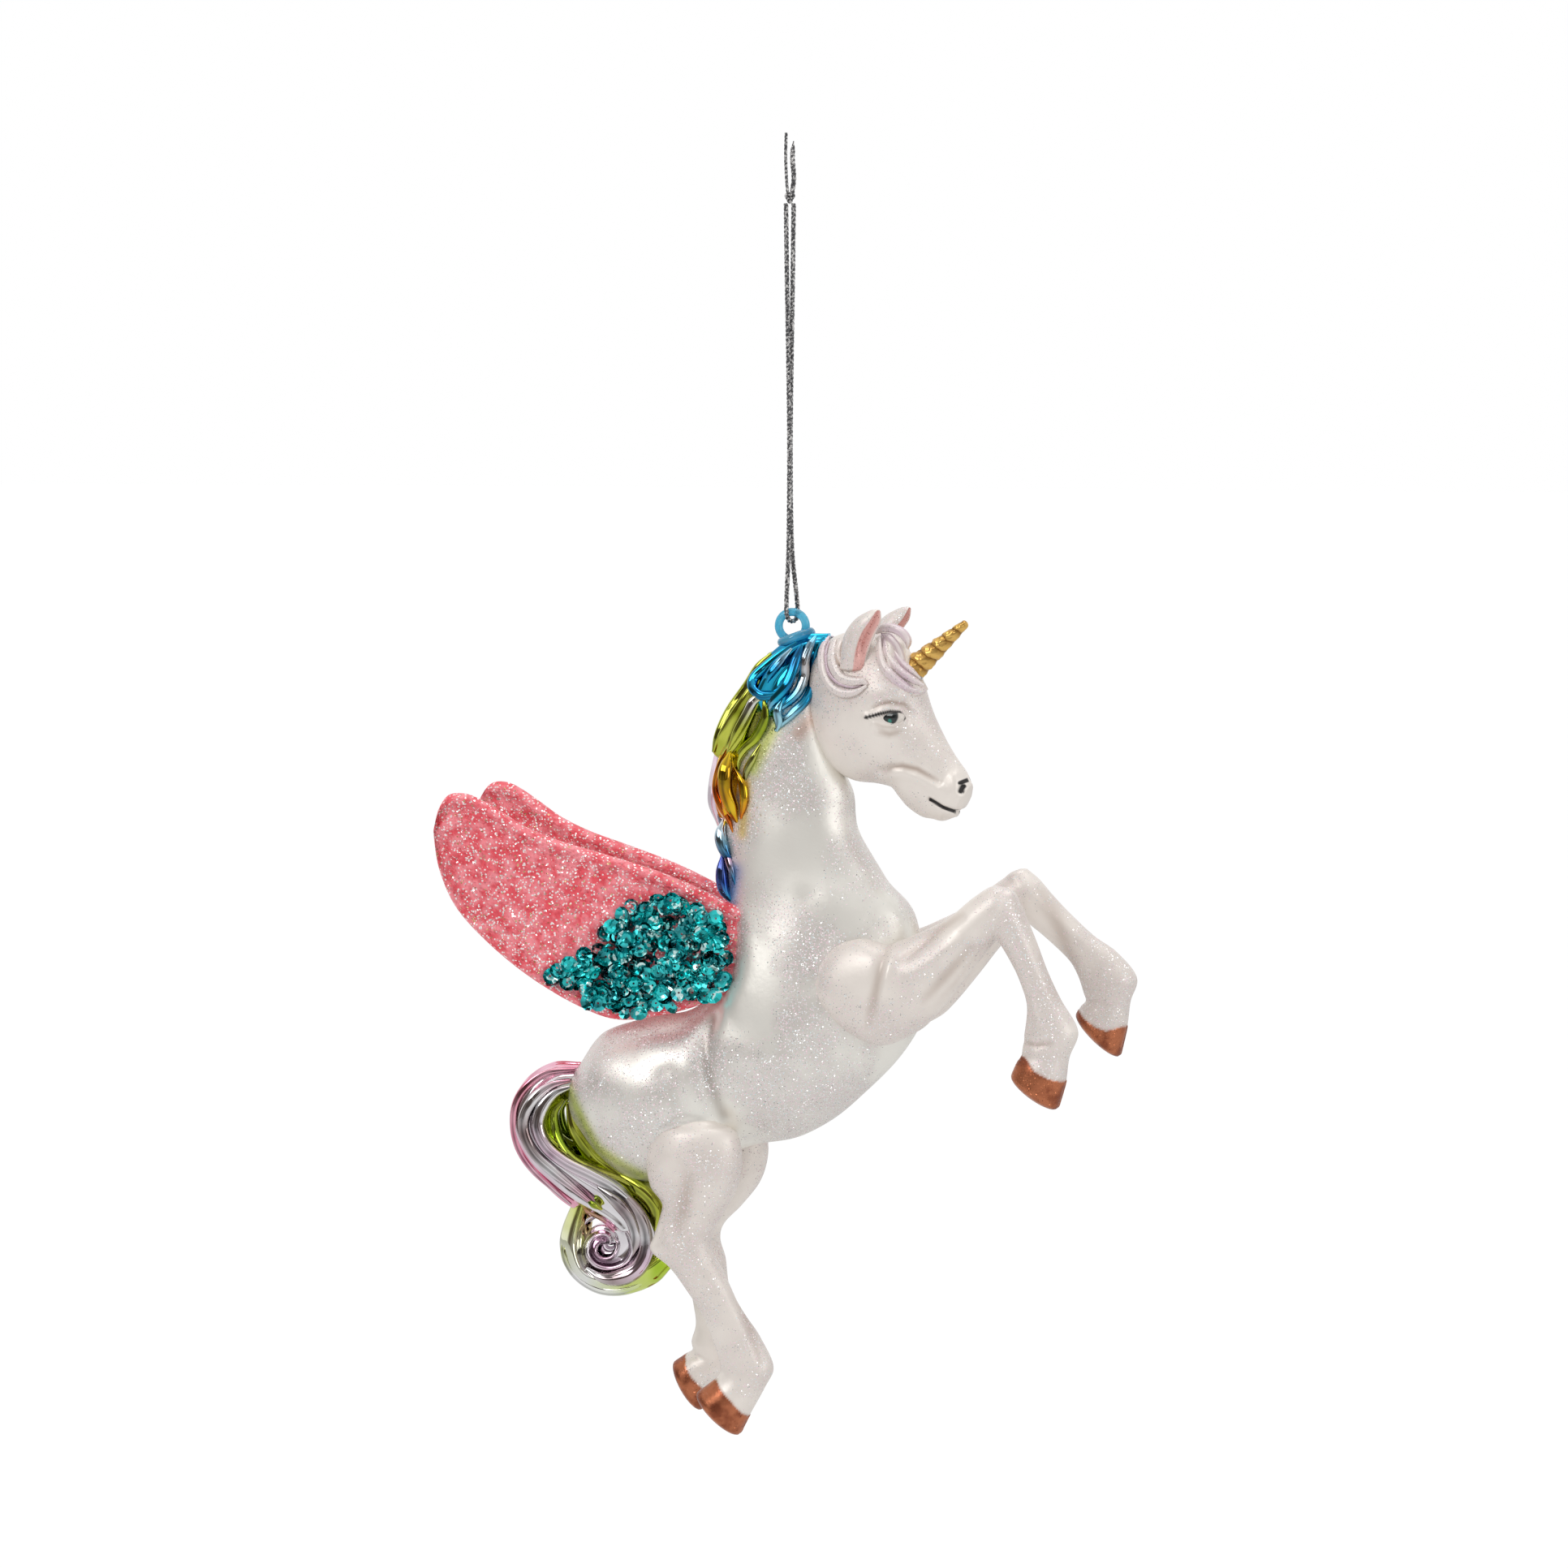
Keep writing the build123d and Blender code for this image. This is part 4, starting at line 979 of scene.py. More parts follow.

# %% [markdown]
# ## Strands of the mane
#
# Over the plain locks lie S-shaped strands that cross and curl, which is what makes blown hair glitter: each
# turn of a strand mirrors another part of the room. They are laid on the near side of the locks and mirrored
# to the far side. Their tint is darker in the grooves: painted shade.

# %% Mane strands
deep_blue, grey_blue = (0.005, 0.20, 0.42), (0.42, 0.55, 0.62)
orange, amber = (0.80, 0.30, 0.01), (0.62, 0.42, 0.01)
mane_strands = [
    ([(981, 792, 0), (962, 806, 0.3), (943, 822, 0.4), (929, 836, 0.3), (928, 848, 0.3), (938, 857, 0.4),
      (952, 856, 0.3), (961, 849, 0)], 0.85, [blue, blue, deep_blue, blue]),
    ([(975, 800, 0), (962, 815, 0.2), (950, 830, 0.2), (945, 841, 0)], 0.7, [pale_blue, deep_blue, blue]),
    ([(988, 795, 0.1), (981, 814, 0.5), (975, 832, 0.5), (967, 848, 0.4), (953, 864, 0.3), (946, 876, 0)],
     0.95, [blue, deep_blue, blue, blue, pale_blue]),
    ([(1005, 784, 0.1), (998, 796, 0.5), (991, 815, 0.7), (990, 834, 0.6), (983, 853, 0.5), (968, 868, 0.3),
      (953, 880, 0)], 0.85, [blue, grey_blue, silver, grey_blue, blue, pale_blue]),
    ([(1015, 786, 0.1), (1007, 796, 0.4), (1001, 815, 0.5), (1000, 842, 0.4), (993, 862, 0.3),
      (978, 878, 0.2), (963, 892, 0.1), (955, 900, 0)], 0.8, [blue, blue, deep_blue, blue, pale_blue,
      pale_blue]),
    ([(964, 862, 0), (958, 876, 0.3), (960, 890, 0.2), (957, 901, 0)], 0.75, [blue, pale_blue, pale_blue]),
    ([(950, 806, 0), (936, 822, 0), (921, 846, 0.1), (900, 876, 0.1), (886, 905, 0), (879, 926, 0)], 0.9,
     [green, green]),
    ([(945, 858, 0), (930, 863, 0.4), (920, 880, 0.5), (908, 903, 0.3), (898, 923, 0)], 0.75, [green, silver,
      green, green]),
    ([(941, 861, 0), (943, 884, 0.5), (932, 908, 0.6), (917, 923, 0.5), (909, 937, 0.3), (910, 953, 0)], 0.85,
     [green, (0.40, 0.50, 0.02), green, green]),
    ([(937, 917, 0), (928, 934, 0.2), (920, 950, 0.1), (918, 962, 0)], 0.6, [green, (0.42, 0.42, 0.22)]),
    ([(896, 922, 0), (886, 944, 0.2), (881, 970, 0.2), (887, 992, 0.3), (897, 1008, 0.3), (903, 1025, 0)],
     0.5, [orange, orange, orange]),
    ([(899, 928, 0.1), (894, 948, 0.5), (894, 972, 0.6), (901, 994, 0.5), (908, 1012, 0)], 1.15,
     [gold_lacquer, amber, gold_lacquer, gold_lacquer]),
    ([(904, 946, 0), (915, 966, 0.4), (917, 988, 0.4), (913, 1008, 0)], 0.7, [amber, gold_lacquer, orange]),
    ([(892, 1010, 0), (888, 1028, 0.4), (893, 1047, 0.4), (902, 1062, 0)], 1.0, [silver, (0.35, 0.62, 0.78),
      deep_blue]),
    ([(891, 1034, 0), (896, 1054, 0.2), (901, 1070, 0.3), (906, 1090, 0)], 0.6, [violet, lilac_lacquer,
      blue]),
    ([(890, 1054, 0), (889, 1074, 0.4), (892, 1096, 0.4), (901, 1110, 0)], 0.95, [violet, (0.12, 0.24, 0.62),
      blue]),
]


def groove_shaded_tint(valleys, shades):
    """The strands' tints, darkened in their grooves by painted shade."""
    return {"tint": shades * (1 - 0.55 * valleys[:, None])}


combed("mane_strands", carrier(trunk_shell, *mane_shells), mane_strands, chrome,
       groove_shaded_tint)

# %% [markdown]
# ## The tail
#
# The tail falls from the dock in an S and ends in a curl that winds inwards. The fall is rose on its outer
# edge, silver in the middle and yellow-green next to the rump; the curl is a spiral, whose middle line is
# centre + distance x (cos, sin) of an angle that runs through 400 degrees while the distance shrinks.

# %% Tail
tail_fall_table = [
    ((0.025, 0.067), (0.025, -0.060), 0.26, 0), ((-0.090, 0.064), (-0.018, -0.081), 0.34, 0),
    ((-0.198, 0.000), (-0.061, -0.131), 0.42, 0), ((-0.267, -0.110), (-0.076, -0.187), 0.46, 0),
    ((-0.274, -0.237), (-0.054, -0.248), 0.48, 0), ((-0.216, -0.371), (0.025, -0.301), 0.49, 0),
    ((-0.119, -0.474), (0.144, -0.371), 0.48, 0), ((-0.011, -0.562), (0.263, -0.442), 0.46, 0),
    ((0.119, -0.619), (0.335, -0.548), 0.42, 0), ((0.175, -0.668), (0.378, -0.616), 0.38, 0),
]
tail_strand_table = [
    ((0.020, -0.495), (0.090, -0.555), 0.24, 0), ((-0.047, -0.654), (0.069, -0.679), 0.32, 0),
    ((-0.058, -0.760), (0.069, -0.753), 0.35, 0), ((-0.007, -0.873), (0.090, -0.817), 0.35, 0),
    ((0.105, -0.941), (0.141, -0.838), 0.35, 0), ((0.242, -0.944), (0.213, -0.835), 0.34, 0),
    ((0.371, -0.895), (0.299, -0.803), 0.32, 0), ((0.447, -0.817), (0.379, -0.760), 0.24, 0),
]
curl_rows, curl_sides, curl_start, curl_sweep = 240, 96, 50, 400
curl_centre = dock + np.array([0.155, 0, -0.722]) * tail_length


def tail_bands(shades, turn):
    """Rose at the outer edge, where cos(turn) is near 1, silver in the middle, yellow-green inside."""
    outer = ramp(np.cos(turn), 0.45, 0.8)[None, :, None]
    inner = ramp(-np.cos(turn), 0.25, 0.6)[None, :, None]
    return shades * (1 - outer) * (1 - inner) + outer * np.array(rose) + inner * np.array(green)


def curl_grid():
    """Spiral form; distance from the centre, half depth and half width run from a first to a last value."""
    along, turn = np.linspace(0, 1, curl_rows)[:, None, None], turns(curl_sides)[None, :, None]
    angle = np.radians(curl_start - curl_sweep * along)
    outwards = np.concatenate([np.cos(angle), np.zeros_like(angle), np.sin(angle)], -1)
    distance, depth, width = (
        first + (last - first) * along for first, last in ((0.115, 0.025), (0.080, 0.030), (0.26, 0.20)))
    section = depth * tail_length * outwards * np.cos(turn) + width * tail_width * sideways * np.sin(turn)
    swell = fluted(6, 0.09, 5.0)(along, turn)
    return rounded_ends(curl_centre + distance * tail_length * outwards + swell * section, 0.5)


tail_shells = [
    lock("tail_fall", tail_fall_table, dock, tail_length, tail_width, [silver, (0.8, 0.76, 0.8), silver],
         9, 0.07, 4.0, rows=220, around=180, banded=tail_bands),
    lock("tail_strand", tail_strand_table, dock, tail_length, tail_width,
         [green, (0.75, 0.76, 0.6), (0.82, 0.83, 0.8), (0.66, 0.75, 0.25), (0.55, 0.72, 0.05)], 4, 0.08, 2.0),
]
curl_tint = shades_along([silver, (0.80, 0.74, 0.79), lilac_lacquer, silver], curl_rows, curl_sides)
new_piece("tail_curl", [closed_grid(curl_grid())], chrome,
          attributes={"tint": with_ends(curl_tint)})

# %% [markdown]
# ## Strands of the tail
#
# Thick rings of hair wind round the curl, each given by where its middle shows and by its half width and
# half depth; they go through the middle plane, so both sides have them. Finer strands are then laid over
# the fall and the rings, and mirrored.

# %% Strands of the tail
# The grey-brown stops, from (0.30, 0.24, 0.24) to (0.60, 0.50, 0.50), darken the silver in places: painted
# shade.
tail_strands = [
    ([(706, 1320, 0), (672, 1324, 0.2), (648, 1340, 0.2), (634, 1362, 0.1), (631, 1390, 0.1),
      (637, 1418, 0.1), (653, 1443, 0.1), (677, 1467, 0.1), (701, 1488, 0)], 0.75, [rose, (0.86, 0.36, 0.46),
      rose, (0.92, 0.74, 0.80)]),
    ([(700, 1334, 0), (676, 1340, 0.4), (656, 1356, 0.5), (644, 1378, 0.5), (645, 1400, 0.5),
      (657, 1424, 0.5), (680, 1445, 0.5), (708, 1468, 0.4), (734, 1490, 0.2)], 0.95, [rose, silver,
      (0.5, 0.42, 0.42), silver, rose]),
    ([(700, 1342, 0), (682, 1349, 0.5), (667, 1366, 0.6), (661, 1390, 0.6), (671, 1414, 0.6),
      (695, 1434, 0.6), (728, 1450, 0.6), (757, 1466, 0.6), (780, 1487, 0.5), (796, 1508, 0.3)], 1.15,
     [silver, silver, lilac_lacquer, silver, silver]),
    ([(692, 1358, 0), (680, 1376, 0.4), (684, 1404, 0.5), (700, 1428, 0.5), (726, 1444, 0.5),
      (759, 1455, 0.4), (788, 1470, 0.2)], 1.0, [green, (0.30, 0.45, 0.02), (0.62, 0.60, 0.14), green]),
    ([(698, 1362, 0), (706, 1396, 0.3), (730, 1429, 0.3), (761, 1452, 0.3), (791, 1470, 0.3),
      (806, 1485, 0.3), (811, 1499, 0.3), (807, 1514, 0.2), (800, 1527, 0)], 1.45, [green, (0.50, 0.56, 0.06),
      green, (0.55, 0.58, 0.10)]),
    # A thin grey-brown strand that lies between the rings: painted shade.
    ([(655, 1350, 0), (643, 1372, 0.4), (640, 1394, 0.5), (647, 1416, 0.4), (660, 1434, 0)], 0.4,
     [(0.30, 0.24, 0.24), (0.30, 0.24, 0.24)]),
    ([(742, 1460, 0.2), (768, 1477, 0.4), (787, 1498, 0.4), (797, 1522, 0.4), (796, 1546, 0.3),
      (784, 1567, 0.3), (763, 1578, 0.3), (740, 1579, 0.2), (721, 1568, 0)], 1.35, [silver,
      (0.60, 0.50, 0.50), silver, lilac_lacquer, (0.42, 0.34, 0.34), silver]),
    ([(736, 1466, 0.2), (760, 1484, 0.4), (777, 1505, 0.4), (784, 1530, 0.3), (776, 1554, 0)], 1.1, [silver,
      (0.34, 0.27, 0.28), silver, (0.55, 0.47, 0.46)]),
    ([(722, 1482, 0.2), (730, 1487, 0.6), (740, 1493, 0.2)], 0.55, [(0.25, 0.42, 0.02), (0.70, 0.72, 0.10)]),
]
# The grey-brown stop, (0.55, 0.47, 0.46), on the second ring is painted shade as well.
curl_rings = [
    ([(704, 1499), (699, 1522), (698, 1545), (704, 1564), (719, 1581), (742, 1592), (768, 1592), (792, 1583),
      (812, 1569), (824, 1556)], 1.2, 2.9, [green, (0.62, 0.66, 0.30), silver, (0.86, 0.88, 0.80),
      (0.66, 0.78, 0.22), (0.52, 0.74, 0.02)]),
    ([(764, 1476), (785, 1494), (798, 1518), (799, 1543), (787, 1565), (764, 1577), (738, 1577), (718, 1565),
      (710, 1545), (713, 1524), (722, 1507), (738, 1499)], 1.4, 3.2, [silver, lilac_lacquer, silver,
      (0.55, 0.47, 0.46), silver, silver]),
    ([(727, 1489), (755, 1500), (776, 1518), (783, 1540), (775, 1557), (757, 1565), (738, 1562), (727, 1549),
      (728, 1533), (738, 1523), (749, 1522)], 1.15, 3.5, [rose, silver, lilac_lacquer, silver,
      lilac_lacquer]),
    ([(754, 1524), (763, 1536), (758, 1550), (745, 1552), (738, 1544), (741, 1535), (748, 1537)], 0.65, 3.7,
     [silver, lilac_lacquer, silver]),
]
ring_rows, ring_sides = 120, 40
curl_shells, curl_tints = [], []
for spots, half, half_out, tints in curl_rings:
    ring_line = seen_at(*np.array(spots, float).T, np.zeros(len(spots)))
    shell, valley = strand(ring_line, half, half_out, 5, 0.12, 3.0, ring_rows, ring_sides)
    curl_shells.append(shell)
    # Painted shade: each ring's tint is darker in its grooves.
    curl_tints.append(with_ends(shades_along(tints, ring_rows, ring_sides)) * (1 - 0.5 * valley[:, None]))
new_piece("curl_strands", curl_shells, chrome,
          attributes={"tint": np.concatenate(curl_tints)})
combed("tail_strands", carrier(trunk_shell, *tail_shells, *curl_shells), tail_strands, chrome,
       groove_shaded_tint)

# %% [markdown]
# ## The cap and its ring
#
# The cap is blue translucent glass or resin: a disc with a rounded edge on the poll, a stem inside the
# glass and a ring for the cord. The disc is a profile turned round the cap's axis, and the ring a torus.

# %% Cap
blue_glass, tree, shader = new_material("blue glass", Roughness=0.05, Transmission_Weight=0.55, IOR=1.45,
                                        Coat_Weight=0.3)
cloud = noise(tree, 220.0, 2.0)
glass_blue = mixed_colour(tree, soft_step(tree, cloud, 0.3, 0.7), (0.02, 0.42, 0.68, 1),
                          (0.16, 0.62, 0.82, 1))
give(tree, shader, Base_Color=glass_blue, Normal=rippled(tree, cloud, 0.0004, 0.25))
ring_radius, bar_radius, ring_steps, bar_steps, disc_steps = 2.15, 0.65, 96, 24, 72


def turned_profile(profile, base, axis, across):
    """Profile of (distance from the axis, height) pairs turned round an axis."""
    beside = np.cross(axis, across)
    turn = turns(disc_steps)[None, :, None]
    distance, height = (np.array(values, float)[:, None, None] for values in zip(*profile))
    return base + axis * height + distance * (across * np.cos(turn) + beside * np.sin(turn))


edge = np.radians(np.linspace(-90, 90, 17))
rounded_edge = [(2.42 + 0.68 * np.cos(a), 0.75 * np.sin(a)) for a in edge]
disc_profile = [(1.2, -6.0), (1.2, -0.76), *rounded_edge, (0.05, 0.80)]
ring_turn, bar_turn = turns(ring_steps)[:, None], turns(bar_steps)[None, :]
reach = ring_radius + bar_radius * np.cos(bar_turn)
ring_grid = ring_centre + np.stack([
    reach * np.cos(ring_turn), np.broadcast_to(bar_radius * np.sin(bar_turn), (ring_steps, bar_steps)),
    reach * np.sin(ring_turn)], -1)
cap = new_piece("ringed_cap", [
    closed_grid(turned_profile(disc_profile, disc_centre, cap_axis, cap_across)),
    (ring_grid.reshape(-1, 3), ring_faces(ring_steps, bar_steps), no_triangles)], blue_glass)
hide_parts("hanger_cap")

# %% [markdown]
# ## The head
#
# The head is a casting, so its features are relief on one skin: cheek, eye socket, lids, nostril, mouth.
# It is shaped facing straight ahead and turned by 10 degrees at the end, as the CAD head is. Places are
# millimetres from the middle of its joint with the neck, forwards and up.

# %% Head tables
head_table = [
    ((0.000, 0.392), (-0.032, -0.211), 0.30, 0), ((0.158, 0.460), (0.074, -0.353), 0.43, 0),
    ((0.316, 0.455), (0.211, -0.426), 0.48, 0), ((0.464, 0.421), (0.358, -0.441), 0.50, 0),
    ((0.580, 0.323), (0.453, -0.460), 0.46, 0), ((0.643, 0.166), (0.506, -0.519), 0.39, 0),
    ((0.706, 0.000), (0.558, -0.578), 0.32, 0), ((0.780, -0.147), (0.643, -0.632), 0.28, 0),
    ((0.853, -0.264), (0.716, -0.646), 0.25, 0), ((0.917, -0.348), (0.780, -0.656), 0.24, 0),
    ((0.954, -0.421), (0.853, -0.632), 0.19, 0),
]
ear_table = [
    ((0.335, 0.257), (0.187, 0.257), 0.11, 0.38), ((0.368, 0.365), (0.204, 0.365), 0.17, 0.39),
    ((0.413, 0.464), (0.226, 0.464), 0.17, 0.40), ((0.452, 0.533), (0.296, 0.552), 0.13, 0.42),
    ((0.456, 0.592), (0.384, 0.602), 0.06, 0.43), ((0.450, 0.606), (0.424, 0.610), 0.02, 0.43),
]
forelock_table = [
    ((0.474, 0.455), (0.358, 0.421), 0.18, 0), ((0.531, 0.402), (0.384, 0.344), 0.27, -0.02),
    ((0.557, 0.325), (0.399, 0.266), 0.30, -0.05), ((0.585, 0.228), (0.448, 0.179), 0.28, -0.08),
    ((0.654, 0.180), (0.517, 0.121), 0.21, -0.11), ((0.694, 0.137), (0.604, 0.083), 0.13, -0.13),
]
upper_lid = [(9.9, -0.85), (12.1, -0.25), (13.6, 0.1), (14.9, 0.0), (15.5, -1.0)]
lid_crease = [(10.6, 0.5), (12.1, 1.25), (13.5, 1.6), (15.3, 1.2), (16.2, -0.1)]
lower_lid = [(11.2, -1.7), (12.6, -2.2), (14.2, -2.3), (15.4, -1.7)]
under_eye = [(11.6, -2.9), (13.4, -3.4), (15.4, -2.9)]
mouth = [(19.1, -13.6), (21.0, -14.7), (23.0, -15.6)]
nostril_top, nostril_foot = [(23.9, -10.9), (24.6, -10.5)], [(24.15, -11.5), (24.0, -12.2)]
cheek_line = [(11.3, -9.3), (13.1, -8.6), (15.1, -8.4), (17.3, -8.9), (19.1, -9.9), (20.6, -10.7)]

# %% [markdown]
# ## Features pressed into the head
#
# Bumps make the cheeks and brows and sink the eye sockets; grooves and ridges make the lids, the fold of
# the cheek, the nostril, the mouth and the notch under the lip. Each line is pressed on both sides.

# %% Features of the head
head_turn = np.radians(10)


def head_relief(points):
    """Sum of all features of the head, in millimetres out of its skin."""
    relief = twin_bumps(points, (8.5, 6, -3.5), (5.5, 4, 5.5), 0.35)
    relief += twin_bumps(points, (13.6, 5.6, 3.2), (3.5, 3, 1.8), 0.45)
    relief += twin_bumps(points, (13.6, 5.6, -0.8), (2.3, 3, 1.1), -0.75)
    under_cheek_line = [(x, z - 1.3) for x, z in cheek_line]
    for stops, width, height in ((lid_crease, 0.45, -0.35), (upper_lid, 0.5, 0.42), (lower_lid, 0.5, 0.3),
                                 (under_eye, 0.5, -0.22), (cheek_line, 0.55, -0.38),
                                 (under_cheek_line, 0.9, 0.28), (nostril_foot, 0.45, -0.4)):
        relief += groove(points, stops, width, height)
    relief += groove(points, mouth, 0.33, -0.5, clear=0.3)
    relief += groove(points, [(22.9, -10.0), (23.3, -12.4)], 0.8, 0.3, clear=1.4)
    return relief - 0.75 * haze(points, [(23.6, -16.0), (24.6, -16.8)], 0.7)


def head_turned(shell):
    """Shell turned 10 degrees to the right round the upright line through the seat, then put there."""
    turn = -head_turn
    spin = np.array([[np.cos(turn), -np.sin(turn), 0], [np.sin(turn), np.cos(turn), 0], [0, 0, 1]])
    return (shell[0] @ spin.T + head_seat, *shell[1:])


skull_grid = oval_skin(head_table, frame_origin, head_length, head_width, 300, 260)
skull = pressed(closed_grid(skull_grid), head_relief)
print("skull from", skull[0].min(0).round(1), "to", skull[0].max(0).round(1))

# %% [markdown]
# ## Ink and painted shade on the head
#
# The painter draws the upper lid, the mouth and the nostrils with a thin brush in dark ink, and the creases
# are darkened with painted shade. Both are numbers on the points: cover is 1 in the ink, fold grows
# in a crease.

# %% Painted head
face = skull[0]
ink = ramp(np.abs(face[:, 1]), 0.2, 0.6) * np.maximum.reduce([
    drawn(face, upper_lid, 0.18, 0.36), drawn(face, mouth, 0.20, 0.33),
    drawn(face, nostril_top, 0.24, 0.42), drawn(face, nostril_foot, 0.28, 0.46)])
# Painted shade along the lid crease, under the eye, along the lower lid and the cheek line.
creases = ((lid_crease, 0.35, 0.8), (under_eye, 0.45, 0.5), (lower_lid, 0.30, 0.35), (cheek_line, 0.42, 0.7))
fold = sum(faded_line(face, stops, width) * strength for stops, width, strength in creases)
head = new_piece("head_casting", [head_turned(skull)], pearl_paint, attributes={
    "tint": np.broadcast_to(np.array([0.015, 0.012, 0.012]), face.shape), "cover": ink,
    "fold": np.clip(fold, 0, 0.8)})
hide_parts("head")

# %% [markdown]
# ## Ears and the lock of the forelock
#
# An ear is a cone with its front pressed in and painted pink; the two are turned and lean differently. The
# forelock's lock is fluted like the mane's, in pearl paint with lilac brushed over it.

# %% Ears and forelock
ear_foot = 0.257  # height of an ear's foot, as a share of the head's length


def painted_lock(name, table, side, rows, around, swell, tint, cover):
    """Closed lock or ear on the head, with one tint and a cover given per row and turn."""
    grid = oval_skin(table, frame_origin, head_length, head_width, rows, around, side, swell, 0.4)
    covers = with_ends(cover(np.linspace(0, 1, rows)[:, None], turns(around)[None, :]))
    new_piece(name, [head_turned(closed_grid(grid))], pearl_paint, attributes={
        "tint": np.broadcast_to(np.array(tint), (len(covers), 3)), "cover": covers})


def ear(name, side, opening, lean):
    """Ear whose opening faces an angle round it and which leans by a share of its height."""
    leaning = [((a + lean * (b - ear_foot), b), (c + lean * (d - ear_foot), d), *rest)
               for (a, b), (c, d), *rest in ear_table]

    def away(turn):
        """Angle between a place round the ear and the middle of its opening."""
        return np.abs((turn - np.radians(opening) + np.pi) % (2 * np.pi) - np.pi)

    def hollow(along, turn):
        """Distance from the middle as a share, smaller in the opening."""
        opened = (1 - ramp(away(turn), 0.22, 0.62)) * ramp(along, 0.02, 0.3) * (1 - ramp(along, 0.85, 1))
        return 1 - 0.62 * opened

    def pink(along, turn):
        """Paint in the opening, up to just below the tip."""
        return 0.9 * (1 - ramp(away(turn), 0.50, 0.62)) * (1 - ramp(along, 0.93, 1))

    painted_lock(name, leaning, side, 110, 96, hollow, (0.80, 0.42, 0.38), pink)


def lilac_hollows(along, turn):
    """Lilac brushed into every second side of the forelock's flutes."""
    return 0.4 * ramp(np.cos(6 * turn + 5.0 * along), -0.2, -0.9)


ear("right_ear", -1, -36, 0.0)
ear("left_ear", 1, -14, 0.11)
painted_lock("forelock", forelock_table, 1, 130, 96, fluted(6, 0.10, 5.0), (0.70, 0.54, 0.66), lilac_hollows)

# %% [markdown]
# ## Hair of the temples and the forelock
#
# Strands laid on the skull: a hook of hair behind each ear, and a fall over the forehead that crosses to
# the near side. The painter brushed lilac over the pearl, and painted shade darkens the grooves.

# %% Painted hair
pale_pearl, soft_lilac = (0.86, 0.78, 0.76), (0.72, 0.55, 0.67)
temple_strands = [
    ([(1021, 785, -0.2), (1014, 797, 0.4), (1012, 814, 0.5), (1016, 835, 0.5), (1026, 849, 0.5),
      (1040, 855, 0.5), (1054, 853, 0.5), (1066, 846, 0.3)], 0.72, [soft_lilac, pale_pearl, pale_pearl,
      pale_pearl]),
    ([(1021, 790, 0.1), (1017, 808, 0.35), (1020, 828, 0.4), (1032, 842, 0.4), (1048, 847, 0.3),
      (1060, 846, 0.2)], 0.30, [soft_lilac, (0.62, 0.42, 0.60), soft_lilac]),
    ([(1029, 789, -0.2), (1025, 802, 0.4), (1026, 820, 0.5), (1035, 835, 0.5), (1048, 840, 0.5),
      (1060, 840, 0.5), (1067, 844, 0.3)], 0.82, [pale_pearl, pale_pearl, pale_pearl]),
    ([(1036, 790, -0.2), (1032, 800, 0.2), (1033, 813, 0.2), (1040, 824, 0)], 0.6, [pale_pearl,
      (0.74, 0.60, 0.50)]),
]
forelock_strands = [
    ([(1079, 781, 0), (1088, 775, 0.5), (1100, 776, 0.6), (1111, 782, 0.6), (1117, 791, 0.4), (1117, 800, 0)],
     0.75, [pale_pearl, soft_lilac, pale_pearl]),
    ([(1085, 782, 0), (1094, 787, 0.5), (1103, 797, 0.5), (1109, 811, 0.4), (1113, 822, 0)], 0.62,
     [soft_lilac, (0.60, 0.48, 0.54), pale_pearl]),
    ([(1083, 785, 0), (1082, 802, 0.5), (1086, 820, 0.6), (1096, 833, 0.6), (1109, 844, 0.6),
      (1123, 851, 0.5), (1136, 849, 0.3)], 0.72, [pale_pearl, pale_pearl, soft_lilac, pale_pearl]),
    ([(1089, 788, 0), (1091, 804, 0.5), (1098, 818, 0.5), (1110, 830, 0.5), (1124, 839, 0.5),
      (1136, 845, 0.3)], 0.62, [soft_lilac, pale_pearl, soft_lilac, pale_pearl]),
    ([(1096, 790, 0), (1102, 805, 0.3), (1110, 818, 0.3), (1121, 828, 0.3), (1132, 837, 0)], 0.55,
     [pale_pearl, soft_lilac, pale_pearl]),
]


def hair_paint(valleys, shades):
    """Pearl with its tint brushed on, and painted shade in the grooves."""
    return {"tint": shades, "cover": 0.45 + 0.3 * valleys, "fold": 0.5 * valleys}


for name, strands, two in (("temple_hair", temple_strands, True), ("forelock_hair", forelock_strands, False)):
    combed(name, carrier(skull), strands, pearl_paint, hair_paint, head_seat, head_turn, two,
           head_turned)

# %% [markdown]
# ## The eyes
#
# Each eye is a glossy painted ball that looks out between the lids: pale, with a dark iris and a green
# gleam at its lower edge. The paint follows from a point's distance to the iris's middle in the side view.

# %% Eyes
eye_gloss, tree, shader = new_material("painted eye", Roughness=0.12, Coat_Weight=0.6)
give(tree, shader, Base_Color=stored(tree, "tint", "Color"))
eye_white, pupil, green_gleam = (np.array(shade) for shade in (
    (0.74, 0.68, 0.62), (0.004, 0.009, 0.009), (0.0, 0.20, 0.15)))


def eye_grid(centre, radii, rows=48, around=64):
    """Ellipsoid: centre + radii x (cos(up) cos(turn), sin(up), cos(up) sin(turn))."""
    up = np.linspace(-np.pi / 2, np.pi / 2, rows)[1:-1, None]
    turn = turns(around)[None, :]
    ball = np.stack([np.cos(up) * np.cos(turn), np.broadcast_to(np.sin(up), (rows - 2, around)),
                     np.cos(up) * np.sin(turn)], -1)
    return np.array(centre) + ball * np.array(radii)


